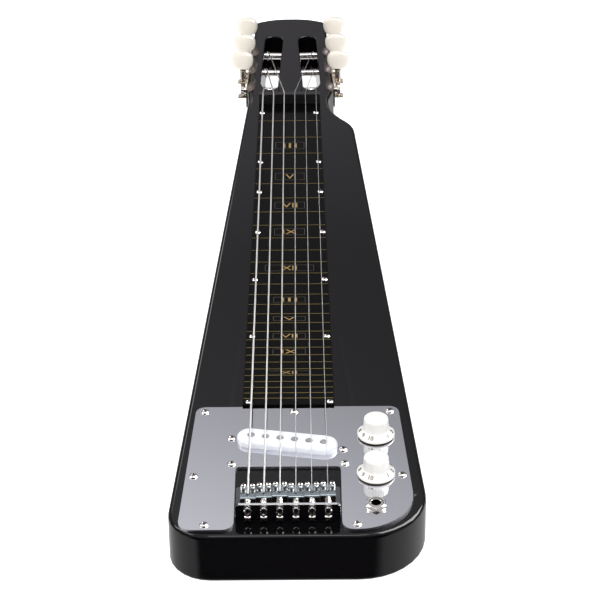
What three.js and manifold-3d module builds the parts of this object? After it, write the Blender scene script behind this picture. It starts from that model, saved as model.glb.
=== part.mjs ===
// Lap steel guitar with a slotted head, a chrome control plate and a top-loaded bridge.
// Millimetres, +Z up. The back of the body lies on Z = 0. Y = 0 is the theoretical saddle line,
// +Y points to the head, and X = 0 is the line midway between the middle strings.
// The three thick strings are on the -X side.

import * as THREE from 'three';
import * as BufferGeometryUtils from 'three/addons/utils/BufferGeometryUtils.js';
import Module from 'manifold-3d';

const wasm = await Module();
wasm.setup();

// Scale, strings and clearances
const scaleLength = 570;
const fretCount = 28;
const semitonesPerOctave = 12;
const stringCount = 6;
const stringsPerSide = stringCount / 2;
const nutStringSpacing = 9.27;
const bridgeStringSpacing = 10.8;
const stringHeight = 8.7;
const bassStringDiameter = 1.4;
const stringDiameterShares = [1, 0.82, 0.66, 0.46, 0.36, 0.3];
const fitGap = 0.3;
const cutOverrun = 2;

// Body plank and its outline
const bodyThickness = 38;
const bodyEdgeRadius = 3.2;
const tailOverhang = 45;
const tailLeftReach = 83.4;
const tailRightReach = 97.6;
const tailLeftRadius = 29;
const tailRightRadius = 47;
const shoulderReach = 55.5;
const shoulderToNut = 32.7;
const shoulderRadius = 30;
const cutawayReach = 34.9;
const cutawayToNut = 6.7;
const cutawayRadius = 50;
const rightWaistReach = 34.6;
const nutToRightWaist = 18;
const leftWaistReach = 36.5;
const nutToLeftWaist = 16;
const waistRadius = 24;

// Head, its two slots and its finger scoops
const headCentreX = 0.6;
const nutToHead = 35;
const headHalfWidth = 38.6;
const headTaper = THREE.MathUtils.degToRad(2.4);
const headShoulderRadius = 9;
const headCornerRadius = 5;
const headLength = 147.8;
const headCrownLength = 10.2;
const headCrownRadius = 50;
const headCrownShare = 0.52;
const headCrownDropShare = 0.2;
const slotInset = 19.2;
const slotWidth = 15.6;
const slotStart = 0.5;
const slotLength = 107.5;
const scoopDepth = 7;
const scoopHalfLength = 9;
const scoopDrop = 6.5;
const scoopToRoller = 10;
const rampRadius = 1.5;
const rampLength = 9;

// Fretboard and nut
const fretboardThickness = 3.5;
const fretboardHalfWidthAtNut = 26.7;
const fretboardHalfWidthAtTail = 32.8;
const fretboardTailMargin = 8;
const fretLineWidth = 0.6;
const fretLineHeight = 0.15;
const fretLineInset = 0.4;
const nutThickness = 5;
const nutCrown = 0.3;

// Control plate, its screws and its cavities
const plateThickness = 1.8;
const plateTopToLeftSide = 10.6;
const plateTopToRightSide = 8.4;
const plateTopRadius = 7;
const plateTailY = -38.9;
const plateTailToLeftSide = 8.9;
const plateTailLeftRadius = 9;
const plateTailToRightSide = 9.6;
const plateTailRightRadiusShare = 0.9;
const notchGap = 0.9;
const notchTopY = 32.2;
const notchTopRadius = 2.5;
const notchFootRadius = 8;
const screwHeadRadius = 3;
const screwHeadHeight = 1.5;
const screwRimHeight = 0.4;
const screwDomeRadiusShare = 0.65;
const screwDomeHeightShare = 0.7;
const screwShankRadius = 1.2;
const screwLength = 13;
const screwTip = 2;
const recessWidth = 0.9;
const recessDepth = 0.7;
const screwToTopEdge = 6.2;
const screwToSideEdge = 5.4;
const topScrewToSideEdge = 6.5;
const topMiddleScrewX = 4;
const notchScrewSide = 2.8;
const notchScrewRise = 3.4;
const notchTopToSideScrew = 10.7;
const screwToTailEdge = 5.5;
const tailScrewToLeftSide = 18.1;
const notchToTailScrew = 10;
const controlCavityDepth = 30;
const controlCavityMargin = 12.6;
const controlCavityHalfWidth = 13.5;
const controlCavityRadius = 12;
const pickupCavityDepth = 21;
const pickupCavityMargin = 3.2;
const wireChannelWidth = 9;

// Pickup
const pickupX = -0.7;
const pickupY = 59;
const pickupSlant = THREE.MathUtils.degToRad(-10.2);
const coverLength = 71.4;
const coverWidth = 18.3;
const coverHeight = 14.9;
const coverWall = 1.4;
const coverStandProud = 5;
const coverEdge = 1.8;
const poleSpacing = 10.3;
const poleRadius = 2.4;
const poleStandProud = 0.5;
const poleDrop = 4;
const bobbinClearance = 1;
const flatworkThickness = 2;
const flatworkEnd = 3.3;
const flatworkWidth = 15;
const heightScrewSpacing = 79.4;
const heightScrewLength = 17;

// Bridge plate and rear wall
const bridgeSideMargin = 8.5;
const bridgeFrontY = 8.5;
const bridgeRearY = -25.7;
const bridgePlateThickness = 2;
const bridgeCornerRadius = 2;
const bridgeWallThickness = 2.2;
const bridgeWallHeight = 12.4;
const wallChamferWidth = 2.4;
const wallChamferHeight = 2;
const intonationScrewHeight = 9.2;
const stringHoleHeight = 3.2;

// Saddles and their screws
const saddleGap = 0.4;
const saddleMetal = 1.9;
const saddleLedgeHeight = 8.5;
const saddleLedgeLength = 8;
const saddleRampLength = 3.4;
const saddleCrownLength = 6.2;
const saddleLegDrop = 6.6;
const saddleLipLength = 0.8;
const saddleFrontYs = [-10.6, -9.6, -8.7, -9.9, -9.2, -8.5];
const heightScrewOffset = 3.1;
const grubScrewRadius = 1.9;
const grubScrewProud = 4;
const grubScrewInset = 3.4;
const hexSocketRadius = 0.75;
const hexSocketDepth = 1.6;
const intonationScrewRadius = 1.2;
const intonationHeadRadius = 2.8;
const intonationHeadLength = 2.4;
const intonationHeadEndShare = 0.7;
const intonationTipReach = 0.4;
const stringRise = 0.6;
const ballRadius = 2.2;
const ballLength = 4.1;

// Knobs, potentiometers and jack
const volumeToSide = 27.7;
const volumeToPlateTop = 35.8;
const toneToSide = 32.3;
const toneY = 22.6;
const jackToSide = 36;
const jackY = -14.4;
const knobLift = 1;
const knobRimRadius = 13.15;
const knobHeight = 13.6;
const knobRadiusShares = [0.96, 1, 1, 0.965, 0.725, 0.69, 0.67, 0.66, 0.62];
const knobHeightShares = [0, 0.02, 0.1, 0.135, 0.385, 0.42, 0.6, 0.96, 1];
const knobHollowRadius = 9.5;
const knobHollowHeight = 3.4;
const shaftRadius = 3;
const shaftTopMargin = 2.4;
const shaftDepth = 6;
const potRadius = 8;
const potHeight = 9;
const bushingRadius = 3.9;
const potNutRadius = 5.4;
const potNutHeight = 2;
const jackBarrelRadius = 5.8;
const jackBarrelLength = 27;
const jackBushingRadius = 4.7;
const jackBushingHeight = 3.7;
const jackBoreRadius = 3.5;
const jackBoreFloor = 2;
const jackNutRadius = 7.45;
const jackNutHeight = 3.1;
const washerRadius = 7;
const washerThickness = 0.8;

// Tuners
const tunerPitch = 35;
const firstRollerPlace = 15;
const rollerHeight = 29;
const rollerRadius = 3;
const rollerSeatDepth = 6;
const wormCentreHeight = 27.2;
const wormOffset = 7.2;
const wormRadius = 2.5;
const wormRootRadius = 1.9;
const wormShaftRadius = 1.5;
const wormRingCount = 4;
const tabSpacing = 14.6;
const tabThickness = 1;
const tabWidth = 7;
const tabReach = 4.6;
const gearTeeth = 14;
const gearRadius = wormOffset - wormRadius - fitGap;
const gearRootRadius = 3.5;
const gearThickness = 2.8;
const gearToothShares = [0, 0.34, 0.66];
const tunerPlateThickness = 1;
const tunerPlateHeight = 18;
const tunerPlateMargin = 12;
const wormStandOff = 5;
const buttonHalfWidth = 9.2;
const buttonHalfThickness = 4.6;
const buttonHalfHeight = 8;
const buttonCentreHeight = 56.2;
const buttonFullness = 2.8;
const ferruleRadius = 3;
const ferruleHeight = 1.5;
const ferruleSeat = 4;
const rivetRadius = 2.1;
const rivetHeight = 0.8;
const windingInset = 15;
const windingTurns = 1.25;
const windingStepsPerTurn = 24;
const windingGap = 0.5;

// Places along the strings that follow from the sizes above
const shoulderY = scaleLength - shoulderToNut;
const cutawayY = scaleLength - cutawayToNut;
const rightWaistY = scaleLength + nutToRightWaist;
const leftWaistY = scaleLength + nutToLeftWaist;
const headStartY = scaleLength + nutToHead;
const headEndY = headStartY + headLength;
const headCornerY = headEndY - headCrownLength;
const slotNearY = headStartY + slotStart;
const slotFarY = slotNearY + slotLength;
const fretboardTailY = fretY(fretCount) - fretboardTailMargin;
const plateTopY = fretboardTailY - fitGap;
const volumeY = plateTopY - volumeToPlateTop;
const volumeX = bodySideReach(1, volumeY) - volumeToSide;
const toneX = bodySideReach(1, toneY) - toneToSide;
const jackX = bodySideReach(1, jackY) - jackToSide;

// Sizes that follow from those of the pieces inside or beside them
const bridgeHalfWidth = bridgeStringSpacing * (stringCount - 1) / 2 + bridgeSideMargin;
const saddleWidth = bridgeStringSpacing - saddleGap;
const notchHalfWidth = bridgeHalfWidth + notchGap;
const plateTopLeft = bodySideReach(-1, plateTopY) - plateTopToLeftSide;
const plateTopRight = bodySideReach(1, plateTopY) - plateTopToRightSide;
const plateTailLeft = bodySideReach(-1, plateTailY) - plateTailToLeftSide;
const plateTailRight = bodySideReach(1, plateTailY) - plateTailToRightSide;
const plateFootWidth = plateTailRight - notchHalfWidth - notchFootRadius;
const plateTailRightRadius = plateFootWidth * plateTailRightRadiusShare;
const controlCavityLeft = toneX - controlCavityHalfWidth;
const controlCavityRight = toneX + controlCavityHalfWidth;
const controlCavityNear = jackY - controlCavityMargin;
const controlCavityFar = volumeY + controlCavityMargin;
const flatworkLength = heightScrewSpacing + flatworkEnd * 2;
const pickupCavityLength = flatworkLength + pickupCavityMargin * 2;
const pickupCavityWidth = coverWidth + pickupCavityMargin * 2;

// Heights that follow from the sizes above
const plateTop = bodyThickness + plateThickness;
const fretboardTop = bodyThickness + fretboardThickness;
const stringLevel = fretboardTop + stringHeight;
const stringHoleLevel = bodyThickness + stringHoleHeight;
const intonationLevel = bodyThickness + intonationScrewHeight;
const coverTop = plateTop + coverStandProud;
const coverBottom = coverTop - coverHeight;

// Roundness of the small turned pieces
const fineSides = 18;
const turnedSides = 14;
const smallSides = 10;
const pinSides = 8;
const stringSides = 6;
const hexSides = 6;
const arcTolerance = 0.2;

// A fret's place, by the rule of equal semitones.
function fretY(fret) {
  return scaleLength * 2 ** (-fret / semitonesPerOctave);
}

// How far the body's slanted left (-1) or right (1) side is from X = 0 at a given Y.
function bodySideReach(sign, y) {
  const share = (y + tailOverhang) / (shoulderY + tailOverhang);
  return THREE.MathUtils.lerp(sign < 0 ? tailLeftReach : tailRightReach, shoulderReach, share);
}

// Finishes
function finish(color, roughness, metalness) {
  return new THREE.MeshStandardMaterial({ color, roughness, metalness });
}
const blackLacquer = finish(0x17161a, 0.25, 0);
const blackBoard = finish(0x0c0b0c, 0.15, 0);
const blackPlastic = finish(0x101012, 0.35, 0);
const mirrorChrome = finish(0xb9bcc6, 0.06, 1);
const satinChrome = finish(0x9aa0ac, 0.25, 1);
const screwSteel = finish(0xc4c4c8, 0.2, 1);
const whitePlastic = finish(0xe9eaf0, 0.35, 0);
const parchmentPlastic = finish(0xf4f1e6, 0.4, 0);
const creamButton = finish(0xf6ead6, 0.3, 0);
const woundBronze = finish(0xc9c2b6, 0.35, 1);
const plainSteel = finish(0xb8bac0, 0.2, 1);
const agedNickel = finish(0xa8a294, 0.3, 1);
const potSteel = finish(0x9b9c9e, 0.45, 1);

// Solid helpers

// A closed geometry becomes a solid that can be joined and cut.
function toSolid(geometry) {
  const bare = geometry.clone();
  bare.deleteAttribute('normal');
  bare.deleteAttribute('uv');
  const merged = BufferGeometryUtils.mergeVertices(bare);
  const index = merged.getIndex().array;
  const triangles = [];
  for (let i = 0; i < index.length; i += 3) {
    const [a, b, c] = [index[i], index[i + 1], index[i + 2]];
    if (a !== b && b !== c && c !== a) triangles.push(a, b, c);
  }
  const vertProperties = new Float32Array(merged.getAttribute('position').array);
  const triVerts = new Uint32Array(triangles);
  return new wasm.Manifold(new wasm.Mesh({ numProp: 3, vertProperties, triVerts }));
}

function toGeometry(solid) {
  const mesh = solid.getMesh();
  const geometry = new THREE.BufferGeometry();
  geometry.setAttribute('position', new THREE.BufferAttribute(mesh.vertProperties, 3));
  geometry.setIndex(new THREE.BufferAttribute(mesh.triVerts, 1));
  geometry.computeVertexNormals();
  return geometry;
}

function join(geometries) {
  return toGeometry(geometries.map(toSolid).reduce((whole, piece) => whole.add(piece)));
}

function cut(geometry, cutters) {
  const pieces = cutters.map(toSolid);
  return toGeometry(pieces.reduce((whole, cutter) => whole.subtract(cutter), toSolid(geometry)));
}

// A plan shape raised from one height by another.
function prism(shape, bottom, height) {
  const geometry = new THREE.ExtrudeGeometry(shape, { depth: height, bevelEnabled: false });
  return geometry.translate(0, 0, bottom);
}

// A side view in Y and Z, given its width across X.
function acrossX(shape, width) {
  const geometry = new THREE.ExtrudeGeometry(shape, { depth: width, bevelEnabled: false });
  geometry.translate(0, 0, -width / 2);
  const alongY = new THREE.Vector3(0, 1, 0);
  const alongZ = new THREE.Vector3(0, 0, 1);
  const alongX = new THREE.Vector3(1, 0, 0);
  return geometry.applyMatrix4(new THREE.Matrix4().makeBasis(alongY, alongZ, alongX));
}

function block(width, depth, height, x, y, z) {
  return new THREE.BoxGeometry(width, depth, height).translate(x, y, z);
}

function rodAlongX(radius, length, sides) {
  return new THREE.CylinderGeometry(radius, radius, length, sides).rotateZ(-Math.PI / 2);
}

function rodAlongY(radius, length, sides) {
  return new THREE.CylinderGeometry(radius, radius, length, sides);
}

function rodAlongZ(radius, length, sides) {
  return new THREE.CylinderGeometry(radius, radius, length, sides).rotateX(Math.PI / 2);
}

// A profile of [radius, height] pairs turned about Z.
function turned(profile, sides) {
  const points = profile.map(([radius, height]) => new THREE.Vector2(radius, height));
  return new THREE.LatheGeometry(points, sides).rotateX(Math.PI / 2);
}

// Points on an arc, close enough together that its chords stay within the arc tolerance.
function arcPoints(centre, radius, startAngle, sweep) {
  const step = 2 * Math.acos(1 - arcTolerance / radius);
  const steps = Math.ceil(Math.abs(sweep) / step);
  return Array.from({ length: steps + 1 }, (unused, i) => {
    const angle = startAngle + (sweep * i) / steps;
    return new THREE.Vector2(Math.cos(angle), Math.sin(angle)).multiplyScalar(radius).add(centre);
  });
}

// An outline through corners [x, y, radius], each corner rounded by a tangent arc.
function roundedShape(corners) {
  return new THREE.Shape(corners.flatMap(([x, y, radius], i) => {
    const here = new THREE.Vector2(x, y);
    if (radius === 0) return [here];
    const before = new THREE.Vector2(...corners.at(i - 1));
    const after = new THREE.Vector2(...corners[(i + 1) % corners.length]);
    const toBefore = before.sub(here).normalize();
    const toAfter = after.sub(here).normalize();
    const halfAngle = Math.acos(toBefore.dot(toAfter)) / 2;
    const inward = toBefore.clone().add(toAfter).normalize();
    const centre = here.clone().addScaledVector(inward, radius / Math.sin(halfAngle));
    const start = here.clone().addScaledVector(toBefore, radius / Math.tan(halfAngle)).sub(centre);
    const sweep = (Math.PI - halfAngle * 2) * -Math.sign(toBefore.cross(toAfter));
    return arcPoints(centre, radius, start.angle(), sweep);
  }));
}

// A long hole or bar with round ends, centred on the origin.
function stadium(length, width) {
  const radius = width / 2;
  const straight = length / 2 - radius;
  return new THREE.Shape([
    ...arcPoints(new THREE.Vector2(straight, 0), radius, -Math.PI / 2, Math.PI),
    ...arcPoints(new THREE.Vector2(-straight, 0), radius, Math.PI / 2, Math.PI),
  ]);
}

function regularPolygon(radius, sideCount, x = 0, y = 0) {
  const corners = Array.from({ length: sideCount }, (unused, i) => {
    const angle = (i / sideCount) * Math.PI * 2;
    return new THREE.Vector2(x + Math.cos(angle) * radius, y + Math.sin(angle) * radius);
  });
  return new THREE.Shape(corners);
}

const guitar = new THREE.Group();

function addPiece(name, geometry, material, parent = guitar) {
  const mesh = new THREE.Mesh(geometry, material);
  mesh.name = name;
  parent.add(mesh);
  return mesh;
}

// Head sides: each side has its own frame on the head's side face, turned with the taper.
// There x = 0 is the face, +x points outwards on the right and -x outwards on the left.
const sides = [
  { name: 'left', sign: -1 },
  { name: 'right', sign: 1 },
].map((side) => {
  const frame = new THREE.Group();
  frame.position.set(headCentreX + side.sign * headHalfWidth, headStartY, 0);
  frame.rotation.z = side.sign * headTaper;
  guitar.add(frame);
  frame.updateMatrixWorld(true);
  return { ...side, frame };
});

function rollerPlace(row) {
  return firstRollerPlace + row * tunerPitch;
}

// Strings: places that the nut, the bridge and the tuners share

// The outer strings go to the nearest rollers and the inner ones to the farthest.
const strings = Array.from({ length: stringCount }, (unused, i) => {
  const fromCentre = i - (stringCount - 1) / 2;
  const onLeft = fromCentre < 0;
  const radius = (bassStringDiameter * stringDiameterShares[i]) / 2;
  return {
    number: i + 1,
    radius,
    nutX: fromCentre * nutStringSpacing,
    bridgeX: fromCentre * bridgeStringSpacing,
    saddleY: saddleFrontYs[i],
    breakY: saddleFrontYs[i] - saddleLipLength - radius - fitGap,
    side: onLeft ? sides[0] : sides[1],
    row: onLeft ? i : stringCount - 1 - i,
    material: onLeft ? woundBronze : plainSteel,
  };
});

const nutFrontY = scaleLength + fitGap;
const nutBackY = nutFrontY + nutThickness;

// The middle line of a string's winding: starts on top of the roller and goes over its far side.
function windingPoints(string) {
  const radius = rollerRadius + fitGap + string.radius;
  const pitch = string.radius * 2 + windingGap;
  const steps = windingTurns * windingStepsPerTurn;
  return Array.from({ length: steps + 1 }, (unused, i) => {
    const turn = i / windingStepsPerTurn;
    const angle = Math.PI / 2 - turn * Math.PI * 2;
    const point = new THREE.Vector3(
      string.side.sign * (turn * pitch - windingInset),
      rollerPlace(string.row) + Math.cos(angle) * radius,
      rollerHeight + Math.sin(angle) * radius,
    );
    return point.applyMatrix4(string.side.frame.matrixWorld);
  });
}

// Body

function headHalfWidthAt(y) {
  return headHalfWidth - Math.tan(headTaper) * (y - headStartY);
}

function bodyOutline() {
  const cornerHalf = headHalfWidthAt(headCornerY);
  const crownX = cornerHalf * headCrownShare;
  const crownY = headEndY - (headEndY - headCornerY) * headCrownDropShare;
  return roundedShape([
    [-tailLeftReach, -tailOverhang, tailLeftRadius],
    [tailRightReach, -tailOverhang, tailRightRadius],
    [shoulderReach, shoulderY, shoulderRadius],
    [cutawayReach, cutawayY, cutawayRadius],
    [rightWaistReach, rightWaistY, waistRadius],
    [headCentreX + headHalfWidth, headStartY, headShoulderRadius],
    [headCentreX + cornerHalf, headCornerY, headCornerRadius],
    [headCentreX + crownX, crownY, headCrownRadius],
    [headCentreX - crownX, crownY, headCrownRadius],
    [headCentreX - cornerHalf, headCornerY, headCornerRadius],
    [headCentreX - headHalfWidth, headStartY, headShoulderRadius],
    [-leftWaistReach, leftWaistY, waistRadius],
  ]);
}

function plank() {
  const geometry = new THREE.ExtrudeGeometry(bodyOutline(), {
    depth: bodyThickness - bodyEdgeRadius * 2,
    bevelEnabled: true,
    bevelThickness: bodyEdgeRadius,
    bevelSize: bodyEdgeRadius,
    bevelOffset: -bodyEdgeRadius,
    bevelSegments: 2,
  });
  return geometry.translate(0, 0, bodyEdgeRadius);
}

// The slot, its roller holes and its finger scoops, cut in the frame of one side of the head.
function headCutters(side) {
  const cutters = [];
  const middleY = (slotNearY + slotFarY) / 2 - headStartY;
  const slot = prism(stadium(slotFarY - slotNearY, slotWidth), -cutOverrun, bodyThickness + cutOverrun * 2);
  cutters.push(slot.rotateZ(Math.PI / 2).translate(-side.sign * slotInset, middleY, 0));
  const holeReach = slotInset + slotWidth / 2 + rollerSeatDepth;
  for (let row = 0; row < stringsPerSide; row += 1) {
    const y = rollerPlace(row);
    const hole = rodAlongX(rollerRadius + fitGap, holeReach + cutOverrun, smallSides);
    cutters.push(hole.translate(-side.sign * (holeReach - cutOverrun) / 2, y, rollerHeight));
    const scoop = new THREE.SphereGeometry(1, smallSides, pinSides).rotateX(Math.PI / 2);
    scoop.scale(scoopDepth, scoopHalfLength, scoopDrop);
    cutters.push(scoop.translate(0, y - scoopToRoller, bodyThickness));
  }
  return cutters.map((cutter) => cutter.applyMatrix4(side.frame.matrixWorld));
}

// A groove in the near end of a slot, so the outer string clears the wood.
function rampCutter(string) {
  const from = new THREE.Vector3(string.nutX, nutBackY, stringLevel);
  const [to] = windingPoints(string);
  const along = to.clone().sub(from).normalize();
  const middle = from.clone().addScaledVector(along, (slotNearY - nutBackY) / along.y);
  const groove = rodAlongY(rampRadius, rampLength, smallSides);
  groove.applyQuaternion(new THREE.Quaternion().setFromUnitVectors(new THREE.Vector3(0, 1, 0), along));
  return groove.translate(middle.x, middle.y, middle.z);
}

function controlCavity() {
  const outline = roundedShape([
    [controlCavityLeft, controlCavityNear, controlCavityRadius],
    [controlCavityRight, controlCavityNear, controlCavityRadius],
    [controlCavityRight, controlCavityFar, controlCavityRadius],
    [controlCavityLeft, controlCavityFar, controlCavityRadius],
  ]);
  return prism(outline, bodyThickness - controlCavityDepth, controlCavityDepth + cutOverrun);
}

function pickupCavities() {
  const floor = bodyThickness - pickupCavityDepth;
  const well = prism(stadium(pickupCavityLength, pickupCavityWidth), floor, pickupCavityDepth + cutOverrun);
  well.rotateZ(pickupSlant).translate(pickupX, pickupY, 0);
  const channelLength = controlCavityLeft + controlCavityRadius - pickupX;
  const channel = block(
    channelLength, wireChannelWidth, pickupCavityDepth + cutOverrun,
    pickupX + channelLength / 2,
    pickupY + Math.tan(pickupSlant) * heightScrewSpacing / 2,
    floor + (pickupCavityDepth + cutOverrun) / 2,
  );
  return [well, channel];
}

// Where the plate's slanted left (-1) or right (1) edge is at a given Y.
function plateEdgeX(sign, y) {
  const share = (plateTopY - y) / (plateTopY - plateTailY);
  const reach = sign < 0
    ? THREE.MathUtils.lerp(plateTopLeft, plateTailLeft, share)
    : THREE.MathUtils.lerp(plateTopRight, plateTailRight, share);
  return sign * reach;
}

function plateScrewCentres() {
  const topY = plateTopY - screwToTopEdge;
  const notchX = notchHalfWidth + notchScrewSide;
  const notchY = notchTopY + notchScrewRise;
  const sideY = notchTopY - notchTopToSideScrew;
  const tailY = plateTailY + screwToTailEdge;
  return [
    { x: plateEdgeX(-1, topY) + topScrewToSideEdge, y: topY },
    { x: topMiddleScrewX, y: topY },
    { x: plateEdgeX(1, topY) - topScrewToSideEdge, y: topY },
    { x: -notchX, y: notchY },
    { x: notchX, y: notchY },
    { x: plateEdgeX(-1, sideY) + screwToSideEdge, y: sideY },
    { x: plateEdgeX(1, sideY) - screwToSideEdge, y: sideY },
    { x: tailScrewToLeftSide - plateTailLeft, y: tailY },
    { x: notchHalfWidth + notchToTailScrew, y: tailY },
  ];
}

function pilotHole({ x, y }) {
  const depth = screwLength + cutOverrun;
  const hole = rodAlongZ(screwShankRadius + fitGap, depth, pinSides);
  return hole.translate(x, y, plateTop - depth / 2);
}

function makeBody() {
  const outerStrings = strings.filter((string) => string.row === 0);
  addPiece('body', cut(plank(), [
    ...sides.flatMap(headCutters),
    ...outerStrings.map(rampCutter),
    controlCavity(),
    ...pickupCavities(),
    ...plateScrewCentres().map(pilotHole),
  ]), blackLacquer);
}

// Fretboard and nut

function fretboardHalfWidthAt(y) {
  const share = (y - fretboardTailY) / (scaleLength - fretboardTailY);
  return THREE.MathUtils.lerp(fretboardHalfWidthAtTail, fretboardHalfWidthAtNut, share);
}

// Each fret line is a thin raised strip, because a steel bar, not the fret, stops the strings.
function fretLine(fret) {
  const y = fretY(fret);
  const width = (fretboardHalfWidthAt(y) - fretLineInset) * 2;
  const height = fretLineHeight + fretboardThickness / 2;
  return block(width, fretLineWidth, height, 0, y, fretboardTop + fretLineHeight - height / 2);
}

function makeFretboard() {
  const outline = new THREE.Shape([
    new THREE.Vector2(-fretboardHalfWidthAtTail, fretboardTailY),
    new THREE.Vector2(fretboardHalfWidthAtTail, fretboardTailY),
    new THREE.Vector2(fretboardHalfWidthAtNut, scaleLength),
    new THREE.Vector2(-fretboardHalfWidthAtNut, scaleLength),
  ]);
  const board = prism(outline, bodyThickness, fretboardThickness);
  const lines = Array.from({ length: fretCount }, (unused, i) => fretLine(i + 1));
  addPiece('fretboard', join([board, ...lines]), blackBoard);
}

function makeNut() {
  const height = stringLevel + nutCrown - bodyThickness;
  const middleY = nutFrontY + nutThickness / 2;
  const middleZ = bodyThickness + height / 2;
  const blank = block(fretboardHalfWidthAtNut * 2, nutThickness, height, 0, middleY, middleZ);
  const grooves = strings.map((string) => {
    const groove = rodAlongY(string.radius + fitGap, nutThickness + cutOverrun, smallSides);
    return groove.translate(string.nutX, middleY, stringLevel);
  });
  addPiece('nut', cut(blank, grooves), blackPlastic);
}

// Screws with a domed head and a cross recess, head underside at Z = 0

function crossRecess(headHeight) {
  const height = recessDepth + cutOverrun;
  const middle = headHeight - recessDepth + height / 2;
  return [
    block(screwHeadRadius, recessWidth, height, 0, 0, middle),
    block(recessWidth, screwHeadRadius, height, 0, 0, middle),
  ];
}

function domedScrew(length) {
  const slope = (screwHeadHeight - screwRimHeight) * screwDomeHeightShare;
  const screw = turned([
    [0, -length],
    [screwShankRadius, screwTip - length],
    [screwShankRadius, 0],
    [screwHeadRadius, 0],
    [screwHeadRadius, screwRimHeight],
    [screwHeadRadius * screwDomeRadiusShare, screwRimHeight + slope],
    [0, screwHeadHeight],
  ], smallSides);
  return cut(screw, crossRecess(screwHeadHeight));
}

// Control plate and its screws

function plateCutters() {
  const through = plateThickness + cutOverrun * 2;
  const bottom = bodyThickness - cutOverrun;
  const pickupHole = stadium(coverLength + fitGap * 2, coverWidth + fitGap * 2);
  const shankHole = screwShankRadius + fitGap;
  const roundHoles = [
    regularPolygon(bushingRadius + fitGap, turnedSides, volumeX, volumeY),
    regularPolygon(bushingRadius + fitGap, turnedSides, toneX, toneY),
    regularPolygon(jackBushingRadius + fitGap, turnedSides, jackX, jackY),
    ...plateScrewCentres().map(({ x, y }) => regularPolygon(shankHole, pinSides, x, y)),
    ...heightScrewCentres().map(({ x, y }) => regularPolygon(shankHole, pinSides, x, y)),
  ];
  return [
    prism(pickupHole, bottom, through).rotateZ(pickupSlant).translate(pickupX, pickupY, 0),
    ...roundHoles.map((hole) => prism(hole, bottom, through)),
  ];
}

function makeControlPlate() {
  const outline = roundedShape([
    [-plateTopLeft, plateTopY, plateTopRadius],
    [-plateTailLeft, plateTailY, plateTailLeftRadius],
    [-notchHalfWidth, plateTailY, notchFootRadius],
    [-notchHalfWidth, notchTopY, notchTopRadius],
    [notchHalfWidth, notchTopY, notchTopRadius],
    [notchHalfWidth, plateTailY, notchFootRadius],
    [plateTailRight, plateTailY, plateTailRightRadius],
    [plateTopRight, plateTopY, plateTopRadius],
  ]);
  const sheet = prism(outline, bodyThickness, plateThickness);
  addPiece('control_plate', cut(sheet, plateCutters()), mirrorChrome);
}

function makePlateScrews() {
  plateScrewCentres().forEach(({ x, y }, i) => {
    const screw = addPiece(`plate_screw_${i + 1}`, domedScrew(screwLength), screwSteel);
    screw.position.set(x, y, plateTop);
  });
}

// Pickup

const pickupFrame = new THREE.Group();
pickupFrame.position.set(pickupX, pickupY, 0);
pickupFrame.rotation.z = pickupSlant;
guitar.add(pickupFrame);

function heightScrewCentres() {
  return [-1, 1].map((end) => ({
    x: pickupX + end * Math.cos(pickupSlant) * heightScrewSpacing / 2,
    y: pickupY + end * Math.sin(pickupSlant) * heightScrewSpacing / 2,
  }));
}

function poleCentres() {
  return Array.from({ length: stringCount }, (unused, i) => (i - (stringCount - 1) / 2) * poleSpacing);
}

function makePickupCover() {
  const outer = new THREE.ExtrudeGeometry(stadium(coverLength, coverWidth), {
    depth: coverHeight - coverEdge,
    bevelEnabled: true,
    bevelThickness: coverEdge,
    bevelSize: coverEdge,
    bevelOffset: -coverEdge,
    bevelSegments: 2,
  });
  outer.translate(0, 0, coverBottom);
  const inside = stadium(coverLength - coverWall * 2, coverWidth - coverWall * 2);
  const hollow = prism(inside, coverBottom - cutOverrun, coverHeight - coverWall + cutOverrun);
  const flatBottom = block(
    coverLength + cutOverrun, coverWidth + cutOverrun, coverEdge, 0, 0, coverBottom - coverEdge / 2,
  );
  const holes = poleCentres().map((x) => (
    rodAlongZ(poleRadius + fitGap, coverHeight, pinSides).translate(x, 0, coverTop)
  ));
  addPiece('pickup_cover', cut(outer, [flatBottom, hollow, ...holes]), whitePlastic, pickupFrame);
}

function makePickupBobbin() {
  const flatworkTop = coverBottom - fitGap;
  const flatwork = stadium(flatworkLength, flatworkWidth);
  const base = prism(flatwork, flatworkTop - flatworkThickness, flatworkThickness);
  const inset = (coverWall + bobbinClearance) * 2;
  const coilTop = coverTop - coverWall - bobbinClearance;
  const coil = prism(
    stadium(coverLength - inset, coverWidth - inset),
    flatworkTop - flatworkThickness / 2,
    coilTop - flatworkTop + flatworkThickness / 2,
  );
  const poleBottom = flatworkTop - poleDrop;
  const poleLength = coverTop + poleStandProud - poleBottom;
  const poles = poleCentres().map((x) => (
    rodAlongZ(poleRadius, poleLength, pinSides).translate(x, 0, poleBottom + poleLength / 2)
  ));
  const screwHoles = [-1, 1].map((end) => (
    rodAlongZ(screwShankRadius + fitGap, coverHeight, pinSides)
      .translate(end * heightScrewSpacing / 2, 0, flatworkTop)
  ));
  addPiece('pickup_bobbin', cut(join([base, coil, ...poles]), screwHoles), potSteel, pickupFrame);
}

function makeHeightScrews() {
  heightScrewCentres().forEach(({ x, y }, i) => {
    const screw = addPiece(`pickup_screw_${i + 1}`, domedScrew(heightScrewLength), screwSteel);
    screw.position.set(x, y, plateTop);
  });
}

// Bridge

function wallHoles() {
  const holeY = bridgeRearY + bridgeWallThickness / 2;
  return strings.flatMap((string) => [
    rodAlongY(intonationScrewRadius + fitGap, bridgeWallThickness + cutOverrun, smallSides)
      .translate(string.bridgeX, holeY, intonationLevel),
    rodAlongY(string.radius + fitGap, bridgeWallThickness + cutOverrun, pinSides)
      .translate(string.bridgeX, holeY, stringHoleLevel),
  ]);
}

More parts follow.
